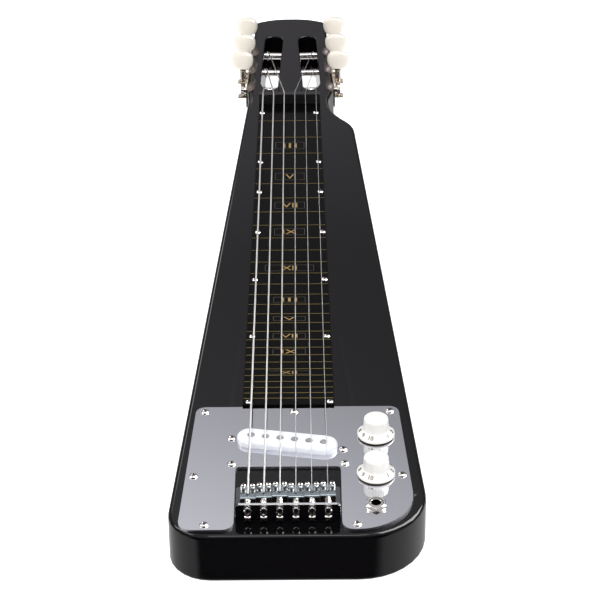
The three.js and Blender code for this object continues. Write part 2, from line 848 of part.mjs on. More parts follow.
function makeBridgePlate() {
  const base = prism(roundedShape([
    [-bridgeHalfWidth, bridgeRearY, 0],
    [bridgeHalfWidth, bridgeRearY, 0],
    [bridgeHalfWidth, bridgeFrontY, bridgeCornerRadius],
    [-bridgeHalfWidth, bridgeFrontY, bridgeCornerRadius],
  ]), bodyThickness, bridgePlateThickness);
  const chamferX = bridgeHalfWidth - wallChamferWidth;
  const chamferZ = bridgeWallHeight - wallChamferHeight;
  const face = new THREE.Shape([
    new THREE.Vector2(-bridgeHalfWidth, 0),
    new THREE.Vector2(bridgeHalfWidth, 0),
    new THREE.Vector2(bridgeHalfWidth, chamferZ),
    new THREE.Vector2(chamferX, bridgeWallHeight),
    new THREE.Vector2(-chamferX, bridgeWallHeight),
    new THREE.Vector2(-bridgeHalfWidth, chamferZ),
  ]);
  const wall = prism(face, 0, bridgeWallThickness).rotateX(Math.PI / 2);
  wall.translate(0, bridgeRearY + bridgeWallThickness, bodyThickness);
  addPiece('bridge_plate', cut(join([base, wall]), wallHoles()), mirrorChrome);
}

// A saddle is bent sheet: a front ledge on two grub screws, a ramp, a flat crown and a rear leg.
// Its own Y = 0 is the front edge of the crown.
function saddleProfile(crownTop) {
  const ledgeTop = saddleLedgeHeight;
  const rampStart = saddleRampLength;
  const front = saddleRampLength + saddleLedgeLength;
  const rear = -saddleCrownLength;
  return new THREE.Shape([
    new THREE.Vector2(front, ledgeTop),
    new THREE.Vector2(front, ledgeTop - saddleMetal),
    new THREE.Vector2(rampStart, ledgeTop - saddleMetal),
    new THREE.Vector2(-saddleMetal / 2, crownTop - saddleMetal),
    new THREE.Vector2(rear + saddleMetal, crownTop - saddleMetal),
    new THREE.Vector2(rear + saddleMetal, crownTop - saddleLegDrop),
    new THREE.Vector2(rear, crownTop - saddleLegDrop),
    new THREE.Vector2(rear, crownTop),
    new THREE.Vector2(0, crownTop),
    new THREE.Vector2(rampStart, ledgeTop),
  ].reverse());
}

function grubScrews() {
  const bottom = bridgePlateThickness;
  const top = saddleLedgeHeight + grubScrewProud;
  const y = saddleRampLength + saddleLedgeLength - grubScrewInset;
  return [-1, 1].map((end) => {
    const screw = rodAlongZ(grubScrewRadius, top - bottom, pinSides);
    const place = screw.translate(end * heightScrewOffset, y, (top + bottom) / 2);
    const socket = rodAlongZ(hexSocketRadius, hexSocketDepth * 2, hexSides);
    return { screw: place, socket: socket.translate(end * heightScrewOffset, y, top) };
  });
}

// The string comes up through a slot in the crown and leaves over the lip in front of it.
function makeSaddles() {
  const screws = grubScrews();
  const holeLength = saddleCrownLength * 2;
  strings.forEach((string) => {
    const crownTop = stringLevel - bodyThickness - string.radius - fitGap;
    const sheet = acrossX(saddleProfile(crownTop), saddleWidth);
    const slotWidth = (string.radius + fitGap) * 2;
    const slotMiddle = string.breakY - string.saddleY - stringRise / 2;
    const slot = block(slotWidth, slotWidth + stringRise, crownTop, 0, slotMiddle, crownTop);
    const threadedHole = rodAlongY(intonationScrewRadius + fitGap, holeLength, smallSides)
      .translate(0, -saddleCrownLength, intonationLevel - bodyThickness);
    const blank = join([sheet, ...screws.map(({ screw }) => screw)]);
    const geometry = cut(blank, [slot, threadedHole, ...screws.map(({ socket }) => socket)]);
    const saddle = addPiece(`saddle_${string.number}`, geometry, satinChrome);
    saddle.position.set(string.bridgeX, string.saddleY, bodyThickness);
  });
}

function makeIntonationScrews() {
  strings.forEach((string) => {
    const headFace = bridgeRearY - fitGap;
    const tipY = string.saddleY - saddleCrownLength + saddleMetal + intonationTipReach;
    const shank = rodAlongY(intonationScrewRadius, tipY - headFace, smallSides);
    const head = new THREE.CylinderGeometry(
      intonationHeadRadius, intonationHeadRadius * intonationHeadEndShare, intonationHeadLength, smallSides,
    );
    shank.translate(0, (tipY + headFace) / 2, 0);
    head.translate(0, headFace - intonationHeadLength / 2, 0);
    const end = headFace - intonationHeadLength;
    const recess = [
      block(intonationHeadRadius, recessDepth * 2, recessWidth, 0, end, 0),
      block(recessWidth, recessDepth * 2, intonationHeadRadius, 0, end, 0),
    ];
    const geometry = cut(join([shank, head]), recess);
    const screw = addPiece(`intonation_screw_${string.number}`, geometry, screwSteel);
    screw.position.set(string.bridgeX, 0, intonationLevel);
  });
}

// Strings: one unbroken tube each, from the ball end through the wall, over the saddle and the
// nut, and round the roller

class StringPath extends THREE.Curve {
  constructor(points) {
    super();
    this.points = points;
  }

  getPoint(t) {
    const place = t * (this.points.length - 1);
    const i = Math.min(Math.floor(place), this.points.length - 2);
    return this.points[i].clone().lerp(this.points[i + 1], place - i);
  }

  getTangent(t) {
    const i = Math.round(t * (this.points.length - 1));
    const before = this.points[Math.max(i - 1, 0)];
    const here = this.points[i];
    const after = this.points[Math.min(i + 1, this.points.length - 1)];
    const arriving = here.clone().sub(before).normalize();
    const leaving = after.clone().sub(here).normalize();
    return arriving.add(leaving).normalize();
  }

  getPointAt(u) {
    return this.getPoint(u);
  }

  getTangentAt(u) {
    return this.getTangent(u);
  }
}

function stringPoints(string) {
  const ballY = bridgeRearY - fitGap - ballRadius;
  return [
    new THREE.Vector3(string.bridgeX, ballY, stringHoleLevel),
    new THREE.Vector3(string.bridgeX, string.breakY - stringRise, stringHoleLevel),
    new THREE.Vector3(string.bridgeX, string.breakY, stringLevel),
    new THREE.Vector3(string.nutX, nutFrontY, stringLevel),
    new THREE.Vector3(string.nutX, nutBackY, stringLevel),
    ...windingPoints(string),
  ];
}

// The least gap between a winding and itself, a quarter turn or more apart along the string.
function leastWindingGap(string) {
  const points = windingPoints(string);
  const apart = windingStepsPerTurn / 4;
  let least = Infinity;
  points.forEach((point, i) => {
    points.slice(i + apart).forEach((other) => {
      least = Math.min(least, point.distanceTo(other) - string.radius * 2);
    });
  });
  return least;
}

function makeStrings() {
  strings.forEach((string) => {
    const points = stringPoints(string);
    const tube = new THREE.ExtrudeGeometry(regularPolygon(string.radius, stringSides), {
      steps: points.length - 1,
      extrudePath: new StringPath(points),
      bevelEnabled: false,
    });
    const ball = rodAlongX(ballRadius, ballLength, smallSides).translate(...points[0].toArray());
    addPiece(`string_${string.number}`, join([tube, ball]), string.material);
    const gap = leastWindingGap(string).toFixed(2);
    console.log(`string ${string.number}: least gap in its winding ${gap} mm`);
  });
}

// Knobs, potentiometers and jack

function makeKnob(name, x, y) {
  const profile = knobHeightShares.map((share, i) => [
    knobRimRadius * knobRadiusShares[i], knobHeight * share,
  ]);
  const boreTop = knobHeight - shaftTopMargin + fitGap;
  const knob = turned([
    [0, boreTop],
    [shaftRadius + fitGap, boreTop],
    [shaftRadius + fitGap, knobHollowHeight],
    [knobHollowRadius, knobHollowHeight],
    [knobHollowRadius, 0],
    ...profile,
    [0, knobHeight],
  ], fineSides);
  addPiece(`${name}_knob`, knob, parchmentPlastic).position.set(x, y, plateTop + knobLift);
}

function makePotentiometer(name, x, y) {
  const bushingTop = plateThickness + potNutHeight + fitGap;
  const pot = turned([
    [0, -potHeight],
    [potRadius, -potHeight],
    [potRadius, -fitGap],
    [bushingRadius, -fitGap],
    [bushingRadius, plateThickness + fitGap],
    [potNutRadius, plateThickness + fitGap],
    [potNutRadius, bushingTop],
    [shaftRadius + fitGap, bushingTop],
    [shaftRadius + fitGap, -shaftDepth - fitGap],
    [0, -shaftDepth - fitGap],
  ], turnedSides);
  addPiece(`${name}_potentiometer`, pot, potSteel).position.set(x, y, bodyThickness);
  const shaftTop = plateThickness + knobLift + knobHeight - shaftTopMargin;
  const shaft = rodAlongZ(shaftRadius, shaftTop + shaftDepth, smallSides);
  const shaftMesh = addPiece(`${name}_shaft`, shaft, agedNickel);
  shaftMesh.position.set(x, y, bodyThickness + (shaftTop - shaftDepth) / 2);
}

function makeJack() {
  const bushingTop = plateThickness + jackBushingHeight;
  const socket = turned([
    [0, -jackBarrelLength],
    [jackBarrelRadius, -jackBarrelLength],
    [jackBarrelRadius, 0],
    [jackBushingRadius, 0],
    [jackBushingRadius, bushingTop],
    [jackBoreRadius, bushingTop],
    [jackBoreRadius, jackBoreFloor - jackBarrelLength],
    [0, jackBoreFloor - jackBarrelLength],
  ], turnedSides);
  addPiece('jack_socket', socket, screwSteel).position.set(jackX, jackY, bodyThickness);
  const boreEdge = regularPolygon(jackBushingRadius + fitGap, turnedSides);
  const washer = regularPolygon(washerRadius, turnedSides);
  washer.holes = [boreEdge];
  const washerMesh = addPiece('jack_washer', prism(washer, 0, washerThickness), screwSteel);
  washerMesh.position.set(jackX, jackY, plateTop);
  const nut = regularPolygon(jackNutRadius, hexSides);
  nut.holes = [boreEdge];
  const nutMesh = addPiece('jack_nut', prism(nut, 0, jackNutHeight), screwSteel);
  nutMesh.position.set(jackX, jackY, plateTop + washerThickness);
}

// Tuners: a plate on each side of the head carries three worms, and each worm turns a roller

function tunerPlateHoles(side, y, middle) {
  const outward = side.sign * (fitGap + tunerPlateThickness / 2);
  const rollerHole = rodAlongX(rollerRadius + fitGap, tunerPlateThickness + cutOverrun, smallSides);
  const shaftHole = rodAlongZ(wormShaftRadius + fitGap, tabSpacing + cutOverrun, pinSides);
  return [
    rollerHole.translate(outward, y, rollerHeight),
    shaftHole.translate(side.sign * wormStandOff, y + wormOffset, middle),
  ];
}

function tunerTabs(side, y, middle) {
  const reach = wormStandOff + tabReach - fitGap;
  return [-1, 1].map((end) => block(
    reach, tabWidth, tabThickness,
    side.sign * (fitGap + reach / 2), y + wormOffset, middle + end * tabSpacing / 2,
  ));
}

function makeTunerPlate(side) {
  const rows = Array.from({ length: stringsPerSide }, (unused, row) => rollerPlace(row));
  const length = (stringsPerSide - 1) * tunerPitch + wormOffset + tunerPlateMargin * 2;
  const middle = wormCentreHeight;
  const strip = block(
    tunerPlateThickness, length, tunerPlateHeight,
    side.sign * (fitGap + tunerPlateThickness / 2),
    rows[0] - tunerPlateMargin + length / 2, middle,
  );
  const tabs = rows.flatMap((y) => tunerTabs(side, y, middle));
  const holes = rows.flatMap((y) => tunerPlateHoles(side, y, middle));
  addPiece(`tuner_plate_${side.name}`, cut(join([strip, ...tabs]), holes), agedNickel, side.frame);
}

function gearShape() {
  const corners = [];
  for (let tooth = 0; tooth < gearTeeth; tooth += 1) {
    gearToothShares.forEach((share, i) => {
      const angle = ((tooth + share) / gearTeeth) * Math.PI * 2;
      const radius = i === 0 ? gearRootRadius : gearRadius;
      corners.push(new THREE.Vector2(Math.cos(angle) * radius, Math.sin(angle) * radius));
    });
  }
  return new THREE.Shape(corners);
}

// A roller lies across the slot, with its gear outside the plate.
function makeRoller(side, row, number) {
  const inner = slotInset + slotWidth / 2 + rollerSeatDepth - fitGap;
  const outer = wormStandOff + gearThickness / 2;
  const rod = rodAlongX(rollerRadius, inner + outer, smallSides);
  rod.translate(side.sign * (outer - inner) / 2, 0, 0);
  const gear = prism(gearShape(), 0, gearThickness);
  gear.translate(0, 0, -gearThickness / 2).rotateY(Math.PI / 2).translate(side.sign * wormStandOff, 0, 0);
  const roller = addPiece(`string_roller_${number}`, join([rod, gear]), screwSteel, side.frame);
  roller.position.set(0, rollerPlace(row), rollerHeight);
}

// The worm shaft, turned in one with its collar and ferrule, Z = 0 midway between the tabs.
function wormProfile(buttonBottom) {
  const clear = tabSpacing / 2 + tabThickness / 2 + fitGap;
  const inside = tabSpacing / 2 - tabThickness / 2 - fitGap;
  const rings = [];
  for (let i = 0; i < wormRingCount; i += 1) {
    const step = (inside * 2) / wormRingCount;
    rings.push([wormRootRadius, i * step - inside], [wormRadius, (i + 1 / 2) * step - inside]);
  }
  return [
    [0, -clear - rivetHeight],
    [rivetRadius, -clear - rivetHeight],
    [rivetRadius, -clear],
    [wormShaftRadius, -clear],
    [wormShaftRadius, -inside],
    ...rings,
    [wormRootRadius, inside],
    [wormShaftRadius, inside],
    [wormShaftRadius, clear],
    [wormRadius, clear],
    [wormRadius, buttonBottom - ferruleHeight],
    [ferruleRadius, buttonBottom - ferruleHeight],
    [ferruleRadius, buttonBottom + ferruleSeat],
    [0, buttonBottom + ferruleSeat],
  ];
}

// A ball with a radius of one, swollen towards the corners of the box around it.
function pillow(ball) {
  const places = ball.getAttribute('position');
  const place = new THREE.Vector3();
  for (let i = 0; i < places.count; i += 1) {
    place.fromBufferAttribute(places, i);
    const sum = place.toArray().reduce((total, value) => total + Math.abs(value) ** buttonFullness, 0);
    place.divideScalar(sum ** (1 / buttonFullness));
    places.setXYZ(i, place.x, place.y, place.z);
  }
  return ball;
}

function makeTunerButton(side, row, number) {
  const buttonCentre = buttonCentreHeight - wormCentreHeight;
  const shaft = turned(wormProfile(buttonCentre - buttonHalfHeight), pinSides);
  const button = pillow(new THREE.SphereGeometry(1, smallSides, pinSides).rotateX(Math.PI / 2));
  button.scale(buttonHalfWidth, buttonHalfThickness, buttonHalfHeight).translate(0, 0, buttonCentre);
  const mesh = addPiece(`tuner_button_${number}`, join([shaft, button]), creamButton, side.frame);
  mesh.position.set(side.sign * wormStandOff, rollerPlace(row) + wormOffset, wormCentreHeight);
}

function makeTuners() {
  sides.forEach(makeTunerPlate);
  strings.forEach(({ side, row, number }) => {
    makeRoller(side, row, number);
    makeTunerButton(side, row, number);
  });
}

makeBody();
makeFretboard();
makeNut();
makeControlPlate();
makePlateScrews();
makePickupCover();
makePickupBobbin();
makeHeightScrews();
makeBridgePlate();
makeSaddles();
makeIntonationScrews();
makeStrings();
makeKnob('volume', volumeX, volumeY);
makeKnob('tone', toneX, toneY);
makePotentiometer('volume', volumeX, volumeY);
makePotentiometer('tone', toneX, toneY);
makeJack();
makeTuners();

export default guitar;
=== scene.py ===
# %% [markdown]
# # Dressing a lap steel guitar
# The solid model already has every piece in its place, in metres, with the back of the body on
# the floor. This script keeps those places and gives the pieces their looks: rounder shapes where
# the solids are coarse, and finishes such as lacquer, chrome and pearly plastic.

# %% Load the solid model
import math

import bpy
from mathutils import Matrix, Vector


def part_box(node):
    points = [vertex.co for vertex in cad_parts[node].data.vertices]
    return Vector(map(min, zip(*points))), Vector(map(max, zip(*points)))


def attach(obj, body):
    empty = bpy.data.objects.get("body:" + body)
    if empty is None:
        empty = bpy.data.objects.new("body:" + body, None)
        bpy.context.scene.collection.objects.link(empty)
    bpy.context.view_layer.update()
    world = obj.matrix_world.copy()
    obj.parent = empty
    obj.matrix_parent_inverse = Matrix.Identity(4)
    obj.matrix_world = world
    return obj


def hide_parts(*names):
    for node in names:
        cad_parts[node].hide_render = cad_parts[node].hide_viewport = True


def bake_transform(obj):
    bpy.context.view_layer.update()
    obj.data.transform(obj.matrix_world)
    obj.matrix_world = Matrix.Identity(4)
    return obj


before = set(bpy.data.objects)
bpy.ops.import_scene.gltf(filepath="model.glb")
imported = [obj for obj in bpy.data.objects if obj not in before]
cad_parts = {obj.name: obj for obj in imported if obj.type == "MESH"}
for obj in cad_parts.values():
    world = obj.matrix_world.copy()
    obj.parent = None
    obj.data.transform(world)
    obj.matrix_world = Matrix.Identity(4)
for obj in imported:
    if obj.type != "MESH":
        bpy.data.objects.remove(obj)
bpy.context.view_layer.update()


# %% [markdown]
# ## The camera
# The camera stands behind the tail end and looks down the strings. Its place and turn were worked
# out from the fret lines, whose spacing follows a known rule. A long lens keeps the neck from
# shrinking too fast, as in a product photo.

# %% Place the camera
camera_place = Vector((0.013449, -1.326763, 1.028016))
camera_pitch = math.radians(32.1032)
camera_yaw = math.radians(-0.17842)
camera_roll = math.radians(-0.5245)
lens_length = 145.66
sensor_width = 36.0

ahead = Vector((
    math.sin(camera_yaw) * math.cos(camera_pitch),
    math.cos(camera_yaw) * math.cos(camera_pitch),
    -math.sin(camera_pitch),
))
level_right = Vector((math.cos(camera_yaw), -math.sin(camera_yaw), 0))
level_up = level_right.cross(ahead)
right = level_right * math.cos(camera_roll) + level_up * math.sin(camera_roll)
up = level_up * math.cos(camera_roll) - level_right * math.sin(camera_roll)

camera_data = bpy.data.cameras.new("camera")
camera_data.lens = lens_length
camera_data.sensor_width = sensor_width
camera = bpy.data.objects.new("camera", camera_data)
bpy.context.scene.collection.objects.link(camera)
turn = Matrix((right, up, -ahead)).transposed()
camera.matrix_world = Matrix.Translation(camera_place) @ turn.to_4x4()
bpy.context.scene.camera = camera
print("camera looks down", round(math.degrees(camera_pitch), 1), "degrees")

# %% [markdown]
# ## The studio
# Chrome and lacquer show what stands round them more than their own colour. Two strip lights
# stand beside the guitar and lean over it. They draw the bright lines along the body's rounded
# corners and put small sparks on the screws, and dull surfaces get no light from them. A small box
# overhead and one far behind the head draw the bright lines along the strings and the slots' rims.
# Two wide fills light the white plastic from the front and from above, and no mirror ray sees
# them. The floor is a white lit table. Mirror rays pass through it too, so the body's upright
# faces show the surroundings below instead.

# %% Set up the floor and the lights
floor_size = 8.0
floor_color = (0.94, 0.94, 0.94, 1)
floor_glow = 0.85
# Each strip light: its low end, its high end, its width and its power.
strips = {
    "right_strip": ((1.33, 0.59, 0.67), (0.46, 0.06, 1.53), 0.9, 52.0),
    "left_strip": ((-1.33, 0.4, 0.67), (-0.7, -0.1, 1.4), 0.42, 8.5),
}
# Each fill light: its middle, its width and its power.
fills = {
    "front_fill": ((-0.3, -1.6, 1.45), 1.2, 30.0),
    "top_fill": ((0, 0.3, 2.0), 2.0, 14.0),
}
# Each soft box that mirrors can show: its middle, its width, its length and its power.
boxes = {
    "top_box": ((0.05, 0.2, 2.0), 0.5, 0.5, 4.5),
    "rear_box": ((-0.45, 1.9, 1.06), 0.3, 0.5, 1.9),
}

bpy.context.scene.view_settings.view_transform = "Standard"


def set_sockets(node, values):
    """Sets a node's inputs from a table of socket names and values."""
    for socket, value in values.items():
        node.inputs[socket].default_value = value


bpy.ops.object.select_all(action="DESELECT")
bpy.ops.mesh.primitive_plane_add(size=floor_size, location=(0, 0, 0))
floor = bpy.context.object
floor.name = "studio_floor"
floor_paint = bpy.data.materials.new("floor paint")
floor_paint.use_nodes = True
set_sockets(floor_paint.node_tree.nodes["Principled BSDF"], {
    "Base Color": floor_color, "Roughness": 0.9, "Specular IOR Level": 0.1,
    "Emission Color": (1, 1, 1, 1), "Emission Strength": floor_glow,
})
floor.data.materials.append(floor_paint)
floor.visible_glossy = False


def add_light(name, middle, along, width, length, power):
    """A soft oblong light that faces the guitar's tail, its long side along a direction."""
    back = middle.normalized()
    across = along.cross(back).normalized()
    data = bpy.data.lights.new(name, "AREA")
    data.shape = "RECTANGLE"
    data.size = width
    data.size_y = length
    data.energy = power
    light = bpy.data.objects.new(name, data)
    bpy.context.scene.collection.objects.link(light)
    turn = Matrix((across, back.cross(across), back)).transposed()
    light.matrix_world = Matrix.Translation(middle) @ turn.to_4x4()
    return light


for name, (low_end, high_end, width, power) in strips.items():
    low_end, high_end = Vector(low_end), Vector(high_end)
    strip = add_light(name, (low_end + high_end) / 2, high_end - low_end, width,
                      (high_end - low_end).length, power)
    strip.visible_diffuse = False
for name, (middle, width, power) in fills.items():
    light = add_light(name, Vector(middle), Vector((1, 0, 0)), width, width, power)
    light.visible_glossy = False
for name, (middle, width, length, power) in boxes.items():
    middle = Vector(middle)
    add_light(name, middle, Vector((0, -middle.z, middle.y)), width, length, power)
print("lights:", list(strips) + list(fills) + list(boxes))

# %% [markdown]
# The surroundings are a ramp over the height of the view direction. A dark band lies along the
# horizon and gives screw heads, strings and edges their black lines. Above it the wall is grey and
# grows brighter. A dark patch in front stands for the camera's side of the room, and it keeps the
# body's tail and the bridge's rear wall black. The left is a little brighter than the right, apart
# from the far right, which lights the rounded corner there.

# %% Paint the surroundings
# Each step of the ramp: its share of the height, from below to above, and its colour.
height_steps = [
    (0.0, (0.85, 0.85, 0.87)), (0.42, (0.75, 0.75, 0.77)), (0.49, (0.06, 0.06, 0.065)),
    (0.62, (0.08, 0.08, 0.085)), (0.69, (0.42, 0.40, 0.43)), (0.72, (0.53, 0.505, 0.54)),
    (0.735, (0.51, 0.49, 0.52)), (0.757, (0.34, 0.335, 0.355)), (0.783, (0.46, 0.46, 0.48)),
    (0.796, (0.59, 0.595, 0.62)), (0.806, (0.70, 0.705, 0.73)), (1.0, (0.74, 0.74, 0.77)),
]
# Each change of strength: its axis, where it starts and ends there, and the strength before and
# after. They are the dark patch in front, the change from left to right, and the far right.
strength_changes = [
    ("Y", -0.69, -0.56, 0.03, 1.0),
    ("X", -0.05, 0.05, 1.08, 0.82),
    ("X", 0.45, 0.85, 1.0, 1.55),
]
world = bpy.data.worlds.new("studio")
bpy.context.scene.world = world
world.use_nodes = True
nodes = world.node_tree.nodes
links = world.node_tree.links
nodes.clear()
direction = nodes.new("ShaderNodeTexCoord")
split = nodes.new("ShaderNodeSeparateXYZ")
links.new(direction.outputs["Generated"], split.inputs["Vector"])


def carried_over(source, from_low, from_high, to_low, to_high):
    """The output of a node that carries one range of values over into another."""
    node = nodes.new("ShaderNodeMapRange")
    set_sockets(node, {
        "From Min": from_low, "From Max": from_high, "To Min": to_low, "To Max": to_high,
    })
    links.new(source, node.inputs["Value"])
    return node.outputs["Result"]


height_ramp = nodes.new("ShaderNodeValToRGB")
links.new(carried_over(split.outputs["Z"], -1.0, 1.0, 0.0, 1.0), height_ramp.inputs["Fac"])
stops = height_ramp.color_ramp.elements
while len(stops) < len(height_steps):
    stops.new(0.5)
for stop, (position, color) in zip(stops, height_steps):
    stop.position = position
    stop.color = (*color, 1)
strengths = [carried_over(split.outputs[axis], *change) for axis, *change in strength_changes]
strength = strengths[0]
for next_strength in strengths[1:]:
    product = nodes.new("ShaderNodeMath")
    product.operation = "MULTIPLY"
    links.new(strength, product.inputs[0])
    links.new(next_strength, product.inputs[1])
    strength = product.outputs["Value"]
background = nodes.new("ShaderNodeBackground")
links.new(height_ramp.outputs["Color"], background.inputs["Color"])
links.new(strength, background.inputs["Strength"])
world_output = nodes.new("ShaderNodeOutputWorld")
links.new(background.outputs["Background"], world_output.inputs["Surface"])
print("surroundings have", len(stops), "steps")

# %% [markdown]
# ## Shared effects
# Real polished surfaces aren't even: they have a faint haze, tiny dents and fine scratches. One
# node group makes this unevenness from two noises, and each finish uses it with its own values.
# A second group draws the fine ribs of a wound string or a thread.

# %% Build the shared node groups


def new_group(name, inputs, outputs):
    """A shader node group with named sockets. Returns the group, its input and its output node."""
    group = bpy.data.node_groups.new(name, "ShaderNodeTree")
    for socket, kind, value in inputs:
        made = group.interface.new_socket(name=socket, in_out="INPUT", socket_type=kind)
        if value is not None:
            made.default_value = value
    for socket, kind in outputs:
        group.interface.new_socket(name=socket, in_out="OUTPUT", socket_type=kind)
    return group, group.nodes.new("NodeGroupInput"), group.nodes.new("NodeGroupOutput")


def link_all(tree, *pairs):
    """Links each output to its input in a node tree."""
    for output, socket in pairs:
        tree.links.new(output, socket)


def build_uneven_group():
    """Color, Roughness and Height that wander a little over a surface."""
    group, inner, outer = new_group("uneven surface", [
        ("Vector", "NodeSocketVector", None),
        ("Color", "NodeSocketColor", (0.5, 0.5, 0.5, 1)),
        ("Tint", "NodeSocketColor", (0.4, 0.4, 0.4, 1)),
        ("Roughness", "NodeSocketFloat", 0.2),
        ("Spread", "NodeSocketFloat", 0.1),
        ("Patch Scale", "NodeSocketFloat", 40.0),
        ("Grain Scale", "NodeSocketFloat", 900.0),
    ], [
        ("Color", "NodeSocketColor"),
        ("Roughness", "NodeSocketFloat"),
        ("Height", "NodeSocketFloat"),
    ])
    patches = group.nodes.new("ShaderNodeTexNoise")
    patches.inputs["Detail"].default_value = 4.0
    grain = group.nodes.new("ShaderNodeTexNoise")
    grain.inputs["Detail"].default_value = 2.0
    blend = group.nodes.new("ShaderNodeMix")
    blend.data_type = "RGBA"
    centred = group.nodes.new("ShaderNodeMath")
    centred.operation = "SUBTRACT"
    centred.inputs[1].default_value = 0.5
    rough = group.nodes.new("ShaderNodeMath")
    rough.operation = "MULTIPLY_ADD"
    link_all(
        group,
        (inner.outputs["Vector"], patches.inputs["Vector"]),
        (inner.outputs["Vector"], grain.inputs["Vector"]),
        (inner.outputs["Patch Scale"], patches.inputs["Scale"]),
        (inner.outputs["Grain Scale"], grain.inputs["Scale"]),
        (patches.outputs["Fac"], blend.inputs["Factor"]),
        (inner.outputs["Color"], blend.inputs["A"]),
        (inner.outputs["Tint"], blend.inputs["B"]),
        (patches.outputs["Fac"], centred.inputs[0]),
        (centred.outputs["Value"], rough.inputs[0]),
        (inner.outputs["Spread"], rough.inputs[1]),
        (inner.outputs["Roughness"], rough.inputs[2]),
        (blend.outputs["Result"], outer.inputs["Color"]),
        (rough.outputs["Value"], outer.inputs["Roughness"]),
        (grain.outputs["Fac"], outer.inputs["Height"]),
    )
    return group


def build_rib_group():
    """Height and Mask of fine ribs along one direction, for windings and threads."""
    group, inner, outer = new_group("fine ribs", [
        ("Vector", "NodeSocketVector", None),
        ("Scale", "NodeSocketFloat", 400.0),
    ], [
        ("Mask", "NodeSocketFloat"),
        ("Height", "NodeSocketFloat"),
    ])
    wave = group.nodes.new("ShaderNodeTexWave")
    wave.wave_type = "BANDS"
    wave.bands_direction = "Y"
    link_all(
        group,
        (inner.outputs["Vector"], wave.inputs["Vector"]),
        (inner.outputs["Scale"], wave.inputs["Scale"]),
        (wave.outputs["Fac"], outer.inputs["Mask"]),
        (wave.outputs["Fac"], outer.inputs["Height"]),
    )
    return group


uneven_surface = build_uneven_group()
fine_ribs = build_rib_group()
print("groups:", uneven_surface.name, "and", fine_ribs.name)

# %% [markdown]
# ## Finishes
# Each finish is one shader whose colour and roughness pass through the uneven group. The amount
# of unevenness is small on chrome and lacquer, and larger on aged nickel and plain steel.

# %% A helper for finishes
dent_depth = 0.0002
finishes = []


def new_finish(name, color, tint, roughness, spread, metallic=0.0, specular=0.5, patch=40.0,
               grain=900.0, dent=0.02):
    """A finish with the uneven group on its colour, roughness and bump."""
    paint = bpy.data.materials.new(name)
    paint.use_nodes = True
    tree = paint.node_tree
    shader = tree.nodes["Principled BSDF"]
    set_sockets(shader, {"Metallic": metallic, "Specular IOR Level": specular})
    place = tree.nodes.new("ShaderNodeTexCoord")
    place.name = "place"
    uneven = tree.nodes.new("ShaderNodeGroup")
    uneven.name = "uneven"
    uneven.node_tree = uneven_surface
    set_sockets(uneven, {
        "Color": (*color, 1), "Tint": (*tint, 1), "Roughness": roughness, "Spread": spread,
        "Patch Scale": patch, "Grain Scale": grain,
    })
    bump = tree.nodes.new("ShaderNodeBump")
    set_sockets(bump, {"Strength": dent, "Distance": dent_depth})
    link_all(
        tree,
        (place.outputs["Object"], uneven.inputs["Vector"]),
        (uneven.outputs["Color"], shader.inputs["Base Color"]),
        (uneven.outputs["Roughness"], shader.inputs["Roughness"]),
        (uneven.outputs["Height"], bump.inputs["Height"]),
        (bump.outputs["Normal"], shader.inputs["Normal"]),
    )
    finishes.append(paint)
    return paint


def shader_of(paint):
    return paint.node_tree.nodes["Principled BSDF"]


# %% Lacquer, plastics and prints
black_lacquer = new_finish(
    "black lacquer", (0.0014, 0.0014, 0.0018), (0.0028, 0.0023, 0.0028),
    0.08, 0.04, specular=0.3, patch=9.0, grain=350.0, dent=0.01)

# The scoops have a satin finish, and their light brownish grey is painted sheen: the light of the
# surroundings that the hollow walls catch.
satin_scoop_sheen = new_finish(
    "satin scoops with painted sheen", (0.13, 0.10, 0.09), (0.10, 0.076, 0.068),
    0.42, 0.2, patch=60.0, dent=0.1)

nut_black = new_finish(
    "nut plastic", (0.007, 0.007, 0.008), (0.012, 0.012, 0.012),
    0.35, 0.1, patch=150.0, dent=0.05)

pickup_white = new_finish(
    "white pickup plastic", (0.80, 0.83, 0.90), (0.86, 0.87, 0.90),
    0.24, 0.08, patch=70.0, dent=0.02)
set_sockets(shader_of(pickup_white), {
    "Subsurface Weight": 0.08, "Subsurface Radius": (0.002, 0.002, 0.002), "Subsurface Scale": 0.5,
})

knob_parchment = new_finish(
    "parchment knob plastic", (0.85, 0.84, 0.81), (0.82, 0.80, 0.76),
    0.34, 0.1, patch=90.0, dent=0.03)

# Painted shade: the knob's hollow underside and foot are dark olive for the shadow under the knob,
# and their finish is a little rougher.
knob_shade = new_finish(
    "knob underside with painted shade", (0.16, 0.14, 0.07), (0.10, 0.085, 0.045),
    0.5, 0.1, patch=90.0, dent=0.03)

knob_print = new_finish(
    "brown dial print", (0.08, 0.05, 0.022), (0.12, 0.08, 0.035),
    0.5, 0.1, specular=0.1, patch=900.0, dent=0.03)

gold_print = new_finish(
    "gold print", (0.42, 0.28, 0.08), (0.30, 0.19, 0.05),
    0.42, 0.2, metallic=0.3, patch=700.0, dent=0.05)

frame_print = new_finish(
    "dull gold frame print", (0.075, 0.062, 0.038), (0.055, 0.044, 0.026),
    0.45, 0.2, patch=700.0, dent=0.05)

coil_tape = new_finish(
    "coil tape", (0.012, 0.012, 0.013), (0.02, 0.018, 0.016),
    0.6, 0.2, patch=300.0, dent=0.2)

button_pearl = new_finish(
    "pearly cream plastic", (0.87, 0.82, 0.73), (0.83, 0.76, 0.66),
    0.22, 0.1, patch=110.0, grain=500.0, dent=0.03)
set_sockets(shader_of(button_pearl), {"Coat Weight": 0.6, "Coat Roughness": 0.08})

print("plastics, lacquer and prints:", len(finishes))

# %% Metals
plate_chrome = new_finish(
    "polished chrome", (0.69, 0.69, 0.73), (0.67, 0.675, 0.71),
    0.05, 0.03, metallic=1.0, patch=6.0, grain=60.0, dent=0.0)

saddle_chrome = new_finish(
    "saddle chrome", (0.30, 0.345, 0.37), (0.35, 0.395, 0.42),
    0.2, 0.1, metallic=1.0, patch=200.0, dent=0.04)

